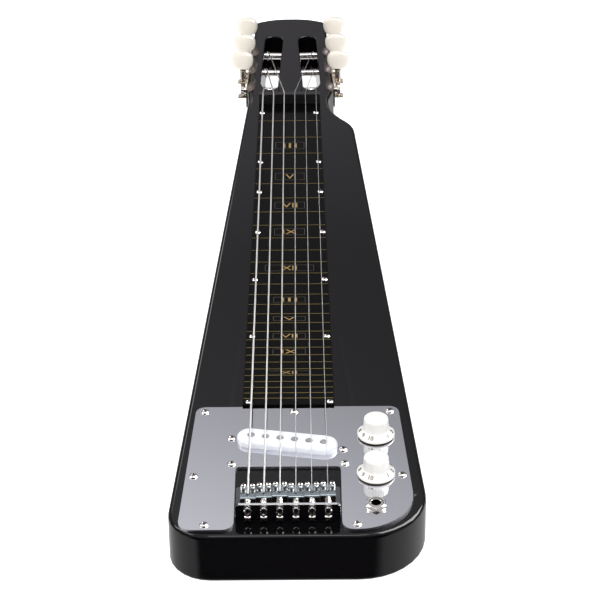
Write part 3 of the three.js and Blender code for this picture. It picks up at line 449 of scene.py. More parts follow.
screw_nickel = new_finish(
    "screw nickel", (0.88, 0.85, 0.82), (0.76, 0.71, 0.67),
    0.1, 0.06, metallic=1.0, patch=350.0, dent=0.04)

aged_nickel = new_finish(
    "aged nickel", (0.74, 0.70, 0.64), (0.46, 0.38, 0.29),
    0.24, 0.2, metallic=1.0, patch=260.0, dent=0.08)

dull_steel = new_finish(
    "dull plated steel", (0.42, 0.42, 0.43), (0.34, 0.33, 0.32),
    0.42, 0.2, metallic=1.0, patch=160.0, dent=0.1)

sheared_chrome = new_finish(
    "sheared chrome edge", (0.62, 0.62, 0.65), (0.5, 0.5, 0.53),
    0.5, 0.1, metallic=1.0, patch=90.0, dent=0.04)

shaded_chrome = new_finish(
    "shaded chrome", (0.15, 0.155, 0.165), (0.10, 0.105, 0.11),
    0.3, 0.1, metallic=1.0, patch=90.0, dent=0.04)

# Polished chrome in pure white: the white is a painted highlight, the bright line along the top of
# the bridge plate's wall.
rim_highlight_chrome = new_finish(
    "polished rim with painted highlight", (1.0, 1.0, 1.0), (0.97, 0.97, 0.98),
    0.16, 0.04, metallic=1.0, patch=90.0, dent=0.0)

# Painted shade, for the dark inside recesses, sockets and bores and on the saddles' rear legs.
recess_shade = new_finish(
    "shaded recess", (0.035, 0.03, 0.028), (0.02, 0.018, 0.016),
    0.55, 0.2, metallic=1.0, patch=400.0, dent=0.1)

plain_wire = new_finish(
    "plain string wire", (0.74, 0.74, 0.75), (0.70, 0.70, 0.71),
    0.3, 0.02, metallic=1.0, patch=300.0, dent=0.0)
print("all finishes so far:", len(finishes))

# %% [markdown]
# A wound string is a core with a thinner wire laid round it, turn against turn. At arm's length
# only a fine ribbing shows, so ribs in the bump are enough.

# %% The wound strings' finish
turn_of_winding = 0.0004
rib_depth = 0.00008
wound_wire = new_finish(
    "wound string wire", (0.94, 0.92, 0.90), (0.90, 0.88, 0.86),
    0.3, 0.02, metallic=1.0, patch=300.0)
wound_tree = wound_wire.node_tree
ribs = wound_tree.nodes.new("ShaderNodeGroup")
ribs.node_tree = fine_ribs
ribs.inputs["Scale"].default_value = math.pi / (10 * turn_of_winding)
rib_bump = wound_tree.nodes.new("ShaderNodeBump")
set_sockets(rib_bump, {"Strength": 0.12, "Distance": rib_depth})
link_all(
    wound_tree,
    (wound_tree.nodes["place"].outputs["Object"], ribs.inputs["Vector"]),
    (ribs.outputs["Height"], rib_bump.inputs["Height"]),
    (rib_bump.outputs["Normal"], shader_of(wound_wire).inputs["Normal"]),
)
print("one turn of the winding is", turn_of_winding * 1000, "mm")

# %% [markdown]
# The fretboard is a black board with fine gold lines for frets. On the solid model each line
# stands a little above the board, so height alone tells gold from black, and one material does
# both.

# %% The fretboard's finish
line_height = 0.00015
line_gold = (0.15, 0.112, 0.038, 1)
board_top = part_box("fretboard")[1][2] - line_height
board_gloss = new_finish(
    "gloss board", (0.0018, 0.0018, 0.002), (0.0032, 0.0027, 0.0025),
    0.16, 0.06, specular=0.065, patch=14.0, grain=300.0, dent=0.01)
board_tree = board_gloss.node_tree
board_split = board_tree.nodes.new("ShaderNodeSeparateXYZ")
above = board_tree.nodes.new("ShaderNodeMath")
above.operation = "GREATER_THAN"
above.inputs[1].default_value = board_top + line_height / 3
line_mix = board_tree.nodes.new("ShaderNodeMix")
line_mix.data_type = "RGBA"
line_mix.inputs["B"].default_value = line_gold
link_all(
    board_tree,
    (board_tree.nodes["place"].outputs["Object"], board_split.inputs["Vector"]),
    (board_split.outputs["Z"], above.inputs[0]),
    (above.outputs["Value"], line_mix.inputs["Factor"]),
    (board_tree.nodes["uneven"].outputs["Color"], line_mix.inputs["A"]),
    (line_mix.outputs["Result"], shader_of(board_gloss).inputs["Base Color"]),
)
print("board top at", round(board_top, 5))

# %% [markdown]
# ## Tools for modelling
# These helpers wrap what a modeller does by hand: pick a piece, pick faces or edges by their
# place, raise a ring into a turned shape, cut one piece with another, and hand a finished piece
# to the body that carries it.

# %% Picking pieces, faces and edges


def pick(*pieces):
    """Only these pieces are selected, and the first is active."""
    if bpy.context.mode != "OBJECT":
        bpy.ops.object.mode_set(mode="OBJECT")
    bpy.ops.object.select_all(action="DESELECT")
    for piece in pieces:
        piece.select_set(True)
    if pieces:
        bpy.context.view_layer.objects.active = pieces[0]


def edit_all(piece):
    """Goes into edit mode with the whole piece selected."""
    pick(piece)
    bpy.ops.object.mode_set(mode="EDIT")
    bpy.ops.mesh.select_all(action="SELECT")


def leave_edit():
    bpy.ops.object.mode_set(mode="OBJECT")


def pick_parts(piece, kind, wanted):
    """Goes into edit mode with only the faces, edges or points that wanted(part) accepts."""
    pick(piece)
    bpy.ops.object.mode_set(mode="EDIT")
    bpy.ops.mesh.select_mode(type=kind)
    bpy.ops.mesh.select_all(action="DESELECT")
    leave_edit()
    mesh = piece.data
    for part in {"FACE": mesh.polygons, "EDGE": mesh.edges, "VERT": mesh.vertices}[kind]:
        part.select = wanted(part)
    bpy.ops.object.mode_set(mode="EDIT")


def pick_faces(piece, wanted):
    pick_parts(piece, "FACE", wanted)


def pick_edges(piece, wanted):
    """Goes into edit mode with only the edges whose two ends wanted(a, b) accepts."""
    pick_parts(piece, "EDGE", lambda edge: wanted(
        *(piece.data.vertices[i].co for i in edge.vertices)))


def pick_points(piece, wanted):
    """Goes into edit mode with only the points that wanted(place) accepts."""
    pick_parts(piece, "VERT", lambda point: wanted(point.co))


# %% Shaping helpers
merge_distance = 0.000001
# A face lies flat where the Z of its normal is over the first, and stands where it is under the
# second.
flat_normal = 0.9
upright_normal = 0.1


def face_outwards(piece):
    """Closes seams and turns every face outwards."""
    edit_all(piece)
    bpy.ops.mesh.remove_doubles(threshold=merge_distance)
    bpy.ops.mesh.normals_make_consistent(inside=False)
    leave_edit()


def turned(profile, sides=48, ring=False):
    """A round piece about Z from (radius, height) pairs. A ring's profile closes on itself."""
    pick()
    radius, height = profile[0]
    bpy.ops.mesh.primitive_circle_add(
        vertices=sides, radius=radius, fill_type="NOTHING" if ring else "NGON",
        location=(0, 0, height))
    piece = bpy.context.object
    bpy.ops.object.transform_apply(location=True, rotation=False, scale=False)
    edit_all(piece)
    for next_radius, next_height in profile[1:] + (profile[:1] if ring else []):
        bpy.ops.mesh.extrude_region_move(
            TRANSFORM_OT_translate={"value": (0, 0, next_height - height)})
        share = next_radius / radius
        bpy.ops.transform.resize(value=(share, share, 1), center_override=(0, 0, next_height))
        radius, height = next_radius, next_height
    leave_edit()
    face_outwards(piece)
    return piece


def modify(piece, name, kind, **settings):
    """Adds a modifier with its settings and applies it."""
    pick(piece)
    modifier = piece.modifiers.new(name, kind)
    for setting, value in settings.items():
        setattr(modifier, setting, value)
    bpy.ops.object.modifier_apply(modifier=modifier.name)


def cut(piece, *cutters):
    """Takes the cutters' shapes out of the piece, then removes the cutters."""
    for cutter in cutters:
        modify(piece, "cut", "BOOLEAN", operation="DIFFERENCE", solver="EXACT", object=cutter)
        bpy.data.objects.remove(cutter)


def soften(piece, width, segments=2, angle=30):
    """Rounds every sharp edge by the given width."""
    modify(piece, "soften", "BEVEL", width=width, segments=segments, limit_method="ANGLE",
           angle_limit=math.radians(angle), use_clamp_overlap=True)


def merged_copy(node):
    """A loose copy of a solid's mesh, with its points merged and its flat faces joined."""
    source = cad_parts[node]
    piece = source.copy()
    piece.data = source.data.copy()
    piece.parent = None
    piece.hide_render = False
    piece.hide_viewport = False
    bpy.context.scene.collection.objects.link(piece)
    piece.matrix_world = Matrix.Identity(4)
    edit_all(piece)
    bpy.ops.mesh.remove_doubles(threshold=merge_distance)
    bpy.ops.mesh.dissolve_limited(angle_limit=math.radians(0.5))
    leave_edit()
    return piece


def place_piece(piece, place=(0, 0, 0), about_x=0.0, about_y=0.0, about_z=0.0):
    """Turns a piece about X, then Y, then Z, moves it, and puts both into its mesh."""
    bpy.context.view_layer.update()
    piece.matrix_world = (
        Matrix.Translation(place)
        @ Matrix.Rotation(about_z, 4, "Z")
        @ Matrix.Rotation(about_y, 4, "Y")
        @ Matrix.Rotation(about_x, 4, "X")
        @ piece.matrix_world
    )
    pick(piece)
    bpy.ops.object.transform_apply(location=True, rotation=True, scale=True)
    return piece


def cylinder(radius, depth, place=(0, 0, 0), sides=48, **turn):
    """A plain cylinder with its middle at a place, as a cutter or as a start."""
    pick()
    bpy.ops.mesh.primitive_cylinder_add(vertices=sides, radius=radius, depth=depth)
    return place_piece(bpy.context.object, place, **turn)


def block(sizes, place=(0, 0, 0), **turn):
    """A plain block with its middle at a place, as a cutter."""
    pick()
    bpy.ops.mesh.primitive_cube_add(size=1)
    bpy.context.object.scale = sizes
    return place_piece(bpy.context.object, place, **turn)


def own_copy(piece):
    """A copy of a piece with a mesh of its own."""
    pick(piece)
    bpy.ops.object.duplicate(linked=False)
    return bpy.context.object


def joined(*pieces):
    pick(*pieces)
    bpy.ops.object.join()
    return bpy.context.object


def hand_over(piece, name, body, paint, *nodes, slot=None, angle=32, flat_faces=False):
    """Names a finished piece, paints it, and gives it to the body that carries it.

    A piece that bends can be given two bodies and the places where its bend starts and ends; these
    are not used, and the piece stays unattached.
    With flat_faces, big flat faces shade flat right up to their rounded edges.
    """
    pick(piece)
    bpy.ops.object.transform_apply(location=True, rotation=True, scale=True)
    bpy.ops.object.shade_smooth_by_angle(angle=math.radians(angle))
    if flat_faces:
        modify(piece, "flat faces", "WEIGHTED_NORMAL", keep_sharp=True, weight=50)
    piece.name = name
    piece.data.name = name
    piece.data.materials.clear()
    piece.data.materials.append(paint)
    if isinstance(body, str):
        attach(piece, body)
    else:
        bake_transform(piece)
    if nodes:
        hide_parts(*nodes)
    return piece


def shade_faces(piece, paint, wanted):
    """Gives one more finish to the faces whose middle and normal wanted(place, normal) accepts."""
    piece.data.materials.append(paint)
    chosen = [face for face in piece.data.polygons if wanted(face.center, face.normal)]
    for face in chosen:
        face.material_index = len(piece.data.materials) - 1
    print(piece.name, "has", len(chosen), "faces in", paint.name)


def repaint(node, paint):
    """Gives its finish to a solid that stays as it is."""
    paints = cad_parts[node].data.materials
    paints.clear()
    paints.append(paint)


# %% [markdown]
# ## The body
# The real body is a plank sawn to its outline, with its edges rounded over and a deep gloss. The
# outline is read from the solid model by a level cut. It is raised again as one clean wall, so
# that the edges can be rounded finely, and then the slots, scoops and cavities are cut.

# %% Read outlines from a solid by a level cut


def outlines_at(node, height):
    """The closed outlines that a level cut through a solid leaves, as separate pieces."""
    edit_all(merged_copy(node))
    bpy.ops.mesh.bisect(
        plane_co=(0, 0, height), plane_no=(0, 0, 1), use_fill=False,
        clear_inner=True, clear_outer=True)
    bpy.ops.mesh.select_all(action="SELECT")
    bpy.ops.mesh.separate(type="LOOSE")
    leave_edit()
    return list(bpy.context.selected_objects)


def reach(piece, axis):
    """The lowest and the highest place of a piece on one axis."""
    values = [point.co[axis] for point in piece.data.vertices]
    return min(values), max(values)


def longest_first(wires):
    """Outlines in the order of their length along Y."""
    return sorted(wires, key=lambda wire: reach(wire, 1)[0] - reach(wire, 1)[1])


def raised(outline, bottom, top):
    """A wall raised from an outline, closed at both ends."""
    level = reach(outline, 2)[0]
    edit_all(outline)
    bpy.ops.transform.translate(value=(0, 0, bottom - level))
    bpy.ops.mesh.edge_face_add()
    bpy.ops.mesh.extrude_region_move(TRANSFORM_OT_translate={"value": (0, 0, top - bottom)})
    leave_edit()
    face_outwards(outline)
    return outline


# %% Draw the slots' near ends out
# A near end's curve is longer than a half circle by this share.
near_end_share = 1.9
near_end_clearance = 0.00002
near_end_height = 0.12
point_tolerance = 0.00001


def wall_width(wall, lean):
    """How wide a leaning wall is, measured square to its lean."""
    across = [
        point.co.x * math.cos(lean) + point.co.y * math.sin(lean) for point in wall.data.vertices]
    return max(across) - min(across)


def round_near_end(wall):
    """Draws the half circle of a slot's near end out to a longer curve, and trims its corners."""
    near_y, far_y = reach(wall, 1)
    ends = [point.co for point in wall.data.vertices]
    near_x = min(ends, key=lambda place: place.y).x
    far_x = max(ends, key=lambda place: place.y).x
    lean = math.atan2(near_x - far_x, far_y - near_y)
    half_width = wall_width(wall, lean) / 2
    half_length = half_width * near_end_share
    bar = cylinder(1, 1, sides=96)
    bar.scale = (half_width + near_end_clearance, half_length, near_end_height)
    place_piece(bar, (0, half_length, 0))
    pick_points(bar, lambda place: place.y > half_length + point_tolerance)
    bpy.ops.transform.translate(value=(0, far_y - near_y, 0))
    leave_edit()
    place_piece(bar, (near_x, near_y, 0), about_z=lean)
    modify(wall, "near end", "BOOLEAN", operation="INTERSECT", solver="EXACT", object=bar)
    bpy.data.objects.remove(bar)


# %% Raise the plank and its slots' walls
body_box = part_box("body")
body_top = body_box[1][2]
low_level = 0.005
cut_overrun = 0.002
edge_radius = 0.0032

wires = longest_first(outlines_at("body", low_level))
plank = raised(wires[0], 0.0, body_top)
slot_walls = [raised(wire, -cut_overrun, body_top + cut_overrun) for wire in wires[1:]]
print("plank outline has", len(plank.data.vertices) // 2, "points, and the head has",
      len(slot_walls), "slots")

# %% Round the plank's edges and cut its openings
pick_edges(plank, lambda a, b: abs(a.z - b.z) < merge_distance)
bpy.ops.mesh.bevel(
    offset=edge_radius, segments=6, profile=0.5, affect="EDGES", clamp_overlap=False)
leave_edit()
for wall in slot_walls:
    round_near_end(wall)
cut(plank, *slot_walls)
print("plank with", len(slot_walls), "slots cut")

# %% [markdown]
# The slots' rims catch a thin line of light on the real head, because the lacquer rounds them
# off. The rim edges lie on the top face round each slot, so they are found by their place.

# %% Round the slots' rims
head_slot_start = 0.6
slot_rim_radius = 0.0012
slot_reach = (0.005, 0.0315)
head_centre_x = 0.0006


def top_and_wall_edges(piece):
    """The edges that join the flat top to an upright wall."""
    normals = {}
    for face in piece.data.polygons:
        for key in face.edge_keys:
            normals.setdefault(key, []).append(face.normal.z)
    return {
        key for key, values in normals.items()
        if len(values) == 2 and min(values) < upright_normal and max(values) > flat_normal}


def in_slot_area(place):
    across = abs(place.x - head_centre_x)
    return (place.z > body_top - merge_distance and slot_reach[0] < across < slot_reach[1]
            and place.y > head_slot_start)


rim_keys = top_and_wall_edges(plank)
pick_parts(plank, "EDGE", lambda edge: edge.key in rim_keys and all(
    in_slot_area(plank.data.vertices[i].co) for i in edge.vertices))
chosen = sum(edge.select for edge in plank.data.edges)
bpy.ops.mesh.bevel(offset=slot_rim_radius, segments=3, profile=0.5, affect="EDGES")
leave_edit()
print("rim edges rounded:", chosen)

# %% [markdown]
# Each side of the head has a frame of its own, turned with the head's taper. The tuners, the
# rollers and the scoops stand in that frame, so one function turns side places into the whole
# model's places.

# %% Places on the head's sides
string_count = 6
rows_per_side = 3
head_half_width = 0.0386
head_start_y = 0.605
head_taper = math.radians(2.4)
first_roller_place = 0.015
tuner_pitch = 0.035
roller_height = 0.029
roller_radius = 0.003
worm_offset = 0.0072
worm_stand_off = 0.005
worm_centre_height = 0.0272
scoop_half_sizes = (0.007, 0.009, 0.0065)
# A small turn and shift keep the scoops' points off the plank's own faces, where a cut can fail.
scoop_turns = {"about_x": 0.11, "about_y": 0.07}
scoop_shift = 0.00007
scoop_to_roller = 0.01
# A face is on a scoop's wall when its distance from the middle, in shares of the scoop's size, is
# between these.
scoop_wall_shares = (0.9, 1.02)
slot_inset = 0.0192
slot_width = 0.0156
roller_seat_depth = 0.006
running_gap = 0.0003

side_signs = {"left": -1, "right": 1}


def side_matrix(side):
    sign = side_signs[side]
    place = Vector((head_centre_x + sign * head_half_width, head_start_y, 0))
    return Matrix.Translation(place) @ Matrix.Rotation(sign * head_taper, 4, "Z")


def on_side(side, x, y, z):
    """A place in the whole model, from one in a side's frame. x is positive away from the head."""
    return side_matrix(side) @ Vector((side_signs[side] * x, y, z))


def row_place(row):
    return first_roller_place + row * tuner_pitch


def stand_on_side(piece, side, x, y, z):
    """Turns a piece with a side's taper and stands it at a place in that side's frame."""
    return place_piece(piece, on_side(side, x, y, z), about_z=side_signs[side] * head_taper)


# %% Cut the scoops and the roller seats
scoop_cutters = []
seat_cutters = []
seat_length = slot_inset + slot_width / 2 + roller_seat_depth + cut_overrun
for side in side_signs:
    for row in range(rows_per_side):
        pick()
        bpy.ops.mesh.primitive_uv_sphere_add(segments=40, ring_count=24, radius=1)
        scoop = bpy.context.object
        scoop.scale = scoop_half_sizes
        place_piece(scoop)
        place_piece(scoop, **scoop_turns)
        scoop_cutters.append(
            stand_on_side(scoop, side, scoop_shift, row_place(row) - scoop_to_roller, body_top))
        seat = cylinder(roller_radius + running_gap, seat_length, sides=32, about_y=math.pi / 2)
        seat_cutters.append(stand_on_side(
            seat, side, cut_overrun - seat_length / 2, row_place(row), roller_height))
cut(plank, *scoop_cutters)
cut(plank, *seat_cutters)
print("scoops and roller seats:", len(scoop_cutters), "and", len(seat_cutters))

# %% Cut the cavities under the plate
# Of the outlines just under the top, the cavities' are those of this size near the tail.
cavity_floor = 0.008
cavity_level = body_top - 0.0005
cavity_end_y = 0.2
least_cavity_length = 0.02
most_cavity_width = 0.13
for wire in outlines_at("body", cavity_level):
    low_y, high_y = reach(wire, 1)
    low_x, high_x = reach(wire, 0)
    fits = high_y - low_y > least_cavity_length and high_x - low_x < most_cavity_width
    if high_y < cavity_end_y and fits:
        cut(plank, raised(wire, cavity_floor, body_top + cut_overrun))
    else:
        bpy.data.objects.remove(wire)


def in_scoop(place, normal):
    """Whether a place lies on the wall of one of the scoops."""
    for side in side_signs:
        local = side_matrix(side).inverted() @ place
        for row in range(rows_per_side):
            offset = local - Vector((0, row_place(row) - scoop_to_roller, body_top))
            share = Vector([offset[axis] / scoop_half_sizes[axis] for axis in range(3)]).length
            if scoop_wall_shares[0] < share < scoop_wall_shares[1]:
                return True
    return False


body_piece = hand_over(
    plank, "lacquered_body", "instrument", black_lacquer, "body", slot="black_lacquer", angle=38,
    flat_faces=True)
# The scoops' walls get the satin finish with its painted sheen.
shade_faces(body_piece, satin_scoop_sheen, in_scoop)
print("body has", len(body_piece.data.polygons), "faces")

# %% [markdown]
# ## The fretboard, its marks and its screws
# A steel player slides a bar over the strings, so the frets are only drawn as lines. Roman
# numerals in thin frames mark the usual places. The solid board is right as it is and only gets
# its finish. The numerals are text made into thin flat meshes, and the frames are planes with
# their middles cut out.

# %% Finish the board and add the position marks
repaint("fretboard", board_gloss)

scale_length = 0.570
mark_height = 0.00006
frame_line = 0.00028
mark_x = 0.0004
mark_y_shift = -0.0005
# Each mark: its fret, its numeral, the numeral's width, then half the frame's width and height.
marks = [
    (3, "III", 0.0116, 0.0122, 0.006), (5, "V", 0.0073, 0.0122, 0.0058),
    (7, "VII", 0.0124, 0.0122, 0.0053), (9, "IX", 0.011, 0.0122, 0.0049),
    (12, "XII", 0.0115, 0.0191, 0.0046), (15, "III", 0.0118, 0.0122, 0.0039),
    (17, "V", 0.0085, 0.0122, 0.0031), (19, "VII", 0.0124, 0.0122, 0.0036),
    (21, "IX", 0.011, 0.0122, 0.0038), (24, "XII", 0.0115, 0.016, 0.0022),
]
numeral_share = 1.35
numeral_start_size = 0.01


def fret_y(fret):
    return scale_length * 2 ** (-fret / 12)


def flat_words(words, size, thickness):
    """Words as a thin mesh on the floor plane, centred on the origin."""
    pick()
    bpy.ops.object.text_add(location=(0, 0, 0))
    piece = bpy.context.object
    piece.data.body = words
    piece.data.size = size
    piece.data.align_x = "CENTER"
    piece.data.align_y = "CENTER"
    piece.data.extrude = thickness / 2
    piece.data.resolution_u = 3
    bpy.ops.object.convert(target="MESH")
    return bpy.context.object


def thin_frame(half_width, half_height, line, thickness):
    """A rectangular outline of a given line width."""
    pick()
    bpy.ops.mesh.primitive_plane_add(size=2)
    piece = bpy.context.object
    piece.scale = (half_width, half_height, 1)
    edit_all(place_piece(piece))
    bpy.ops.mesh.select_mode(type="FACE")
    bpy.ops.mesh.inset(thickness=line)
    bpy.ops.mesh.delete(type="FACE")
    bpy.ops.mesh.select_all(action="SELECT")
    bpy.ops.mesh.extrude_region_move(TRANSFORM_OT_translate={"value": (0, 0, thickness)})
    leave_edit()
    face_outwards(piece)
    return piece


def fit_sizes(piece, sizes):
    """Stretches a piece to its sizes, axis by axis from X, and centres it there."""
    for axis, size in enumerate(sizes):
        low, high = reach(piece, axis)
        piece.scale[axis] = size / (high - low)
        piece.location[axis] = -(low + high) / 2 * piece.scale[axis]
    return piece


for fret, numeral, width, half_width, half_height in marks:
    place = Vector((mark_x, (fret_y(fret - 1) + fret_y(fret)) / 2 + mark_y_shift, board_top))
    border = place_piece(thin_frame(half_width, half_height, frame_line, mark_height), place)
    hand_over(border, f"mark_frame_{fret}", "instrument", frame_print, slot="black_board")
    words = flat_words(numeral, numeral_start_size, mark_height)
    fit_sizes(words, (width, half_height * numeral_share))
    place_piece(words, place + Vector((0, 0, mark_height / 2)))
    hand_over(words, f"position_mark_{fret}", "instrument", gold_print, slot="black_board")
print("position marks:", len(marks))

# %% [markdown]
# One domed screw with a cross recess is modelled once. Copies of it stand at the solid screws'
# places on the plate, and smaller ones hold the fretboard down.

# %% Model the domed screw
head_height = 0.0015
screw_profile = [
    (0.0003, -0.013), (0.0012, -0.011), (0.0012, -0.0001), (0.0029, 0.0), (0.003, 0.00012),
    (0.003, 0.00035), (0.00288, 0.0007), (0.0025, 0.00105), (0.0019, 0.0013), (0.0011, 0.00145),
    (0.0004, head_height),
]
recess_bar_sizes = (0.0036, 0.001, 0.0022)
recess_taper = (0.45, 0.7, 1)
recess_radius = 0.0019
master_screw = turned(screw_profile, sides=40)
recess_bars = []
for quarter in (0, 1):
    bar = block(recess_bar_sizes, (0, 0, head_height))
    pick_points(bar, lambda place: place.z < head_height)
    bpy.ops.transform.resize(value=recess_taper, center_override=(0, 0, head_height))
    leave_edit()
    recess_bars.append(place_piece(bar, about_z=quarter * math.pi / 2))
cut(master_screw, *recess_bars)
print("domed screw with", len(master_screw.data.polygons), "faces")


def shade_recess(screw, top, share=1.0):
    """Paints shade on the walls of a screw's cross recess."""
    middle = [sum(reach(screw, axis)) / 2 for axis in range(2)]

    def in_recess(place, normal):
        near = math.dist(place.xy, middle) / share < recess_radius
        deep = place.z < top - head_height / 2 * share
        return near and place.z < top and (normal.z < 0.6 or deep)

    shade_faces(screw, recess_shade, in_recess)


# %% Set the screws
# How far each screw is turned when it is tight.
screw_turns = [0.3, 1.1, 0.7, 0.2, 0.9, 1.3, 0.5, 0.1, 1.0, 0.6, 0.4, 1.2, 0.8, 0.0]
plate_screws = [f"plate_screw_{i + 1}" for i in range(9)] + ["pickup_screw_1", "pickup_screw_2"]
for i, node in enumerate(plate_screws):
    low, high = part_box(node)
    screw = own_copy(master_screw)
    place_piece(screw, ((low[0] + high[0]) / 2, (low[1] + high[1]) / 2, high[2] - head_height),
                about_z=screw_turns[i])
    hand_over(screw, f"domed_{node}", "instrument", screw_nickel, node, slot="screw_steel")
    shade_recess(screw, high[2])

board_screw_places = [
    (-0.0239, 0.5525), (0.0229, 0.5525), (-0.0244, 0.464), (0.0246, 0.464),
    (-0.0247, 0.413), (0.0255, 0.413), (-0.025, 0.3478), (0.0268, 0.3478),
    (-0.0263, 0.2754), (0.0277, 0.2754), (-0.0272, 0.1945), (0.0286, 0.1945),
    (-0.0284, 0.1083), (0.0298, 0.1083),
]
board_screw_share = 0.85
for i, (x, y) in enumerate(board_screw_places):
    screw = own_copy(master_screw)
    screw.scale = (board_screw_share,) * 3
    place_piece(screw, (x, y, board_top), about_z=screw_turns[-i])
    hand_over(screw, f"board_screw_{i + 1}", "instrument", screw_nickel, slot="screw_steel")
    shade_recess(screw, board_top + head_height * board_screw_share, board_screw_share)
bpy.data.objects.remove(master_screw)
print("screws:", len(plate_screws) + len(board_screw_places))

# %% [markdown]
# ## The nut, the plate, the bridge and the tuner plates
# These are flat or bent sheets and a block. The control plate is raised again from its outlines,
# and its sawn edges stay dull, because only its top is polished. The others have the right
# outlines with sharp edges, so a merged copy with softened edges is all they need. Light then runs
# along the edges.

# %% Build the control plate again from its outlines
plate_low, plate_high = (corner[2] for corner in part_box("control_plate"))
plate_wires = longest_first(outlines_at("control_plate", (plate_low + plate_high) / 2))
plate = raised(plate_wires[0], plate_low, plate_high)
cut(plate, *[
    raised(wire, plate_low - cut_overrun, plate_high + cut_overrun) for wire in plate_wires[1:]])
hand_over(plate, "polished_control_plate", "instrument", plate_chrome, "control_plate",
          slot="mirror_chrome")
shade_faces(plate, sheared_chrome, lambda place, normal: abs(normal.z) < 0.5)
print("plate with", len(plate_wires) - 1, "openings")

# %% Soften the other flat pieces
for node, name, width, paint, slot in (
    ("nut", "softened_nut", 0.0005, nut_black, "black_plastic"),
    ("bridge_plate", "softened_bridge_plate", 0.0005, plate_chrome, "mirror_chrome"),
    ("tuner_plate_left", "softened_tuner_plate_left", 0.0002, aged_nickel, "aged_nickel"),
    ("tuner_plate_right", "softened_tuner_plate_right", 0.0002, aged_nickel, "aged_nickel"),
):
    copy = merged_copy(node)
    soften(copy, width)
    hand_over(copy, name, "instrument", paint, node, slot=slot, flat_faces=True)
    print(name, "has", len(copy.data.polygons), "faces")

# The floor of the bridge plate lies in the saddles' shade, painted dark, and the top of its wall is
# polished chrome whose white colour is a painted highlight.
bridge_low, bridge_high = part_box("bridge_plate")
floor_depth = 0.002
rim_depth = 0.0007
bridge_sheet = bpy.data.objects["softened_bridge_plate"]
shade_faces(bridge_sheet, shaded_chrome, lambda place, normal: (
    normal.z > flat_normal and place.z < bridge_high[2] - floor_depth))
shade_faces(bridge_sheet, rim_highlight_chrome, lambda place, normal: (
    normal.z > 0.3 and place.z > bridge_high[2] - rim_depth))

# %% [markdown]
# ## The pickup
# A moulded cover with round ends stands through the plate at a slant. It starts as a cylinder
# whose halves are pulled apart. The top rim is rounded, the underside is hollowed, and six holes
# let the steel poles through.

# %% Model the pickup cover
pickup_place = (-0.0007, 0.059)
pickup_slant = math.radians(-10.2)
cover_length = 0.0714
cover_width = 0.0183
cover_wall = 0.0014
pole_spacing = 0.0103
pole_radius = 0.0024
cover_rim = 0.0024
hole_depth = 0.006
(_, _, cover_bottom), (_, _, cover_top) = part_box("pickup_cover")
(_, _, pole_bottom), (_, _, pole_top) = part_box("pickup_bobbin")


def stadium(length, width, bottom, top):
    """A bar with round ends: a cylinder whose halves are pulled apart."""
    piece = cylinder(width / 2, top - bottom, (0, 0, (top + bottom) / 2), sides=64)
    for sign in (-1, 1):
        pick_points(piece, lambda place: place.x * sign > merge_distance)
        bpy.ops.transform.translate(value=(sign * (length - width) / 2, 0, 0))
        leave_edit()
    return piece


def at_pickup(piece):
    return place_piece(piece, (*pickup_place, 0), about_z=pickup_slant)


cover = stadium(cover_length, cover_width, cover_bottom, cover_top)
pick_edges(cover, lambda a, b: min(a.z, b.z) > cover_top - point_tolerance)
bpy.ops.mesh.bevel(offset=cover_rim, segments=6, profile=0.5, affect="EDGES")
pick_faces(cover, lambda face: face.normal.z < -flat_normal)
bpy.ops.mesh.inset(thickness=cover_wall)
bpy.ops.mesh.extrude_region_move(
    TRANSFORM_OT_translate={"value": (0, 0, cover_top - cover_bottom - cover_wall)})
leave_edit()
pole_xs = [(i - (string_count - 1) / 2) * pole_spacing for i in range(string_count)]
cut(cover, *[
    cylinder(pole_radius + running_gap, hole_depth, (x, 0, cover_top), sides=40) for x in pole_xs])
hand_over(at_pickup(cover), "moulded_pickup_cover", "pickup", pickup_white, "pickup_cover",
          slot="white_plastic")
print("cover with", len(pole_xs), "holes")

# %% Model the poles and the coil
coil_base_length = 0.086
coil_base_width = 0.015
coil_base_top = cover_bottom - 0.0003
coil_base_bottom = cover_bottom - 0.0023
coil_length = 0.0657
coil_width = 0.0135
coil_edge = 0.0004
base_hole_x = 0.0397
base_hole_radius = 0.0015
base_hole_depth = 0.01
pole = turned([
    (pole_radius * 0.9, pole_bottom), (pole_radius, pole_bottom + 0.0003),
    (pole_radius, pole_top - 0.0004), (pole_radius * 0.93, pole_top - 0.0001),
    (pole_radius * 0.7, pole_top),
], sides=40)
pole_set = joined(*[place_piece(own_copy(pole), (x, 0, 0)) for x in pole_xs])
bpy.data.objects.remove(pole)
hand_over(at_pickup(pole_set), "pickup_poles", "pickup", dull_steel, "pickup_bobbin",
          slot="screw_steel")

flatwork = stadium(coil_base_length, coil_base_width, coil_base_bottom, coil_base_top)
cut(flatwork, *[
    cylinder(base_hole_radius, base_hole_depth, (sign * base_hole_x, 0, cover_bottom - 0.001),
             sides=24)
    for sign in (-1, 1)])
coil = stadium(coil_length, coil_width, cover_bottom - 0.0008, cover_top - cover_wall - 0.001)
soften(coil, coil_edge)
hand_over(at_pickup(joined(flatwork, coil)), "taped_coil", "pickup", coil_tape, "pickup_bobbin",
          slot="potentiometer_steel")
print("pickup: cover, poles and coil")

# %% [markdown]
# ## The bridge's saddles
# A saddle is a strip of sheet bent three times: a leg at the rear, a flat crown, a ramp and a
# ledge for two height screws. The strip starts as a small plane, the leg. Its upper edge is
# extruded along the bends, the bend edges are rounded, and the sheet gets its thickness last.

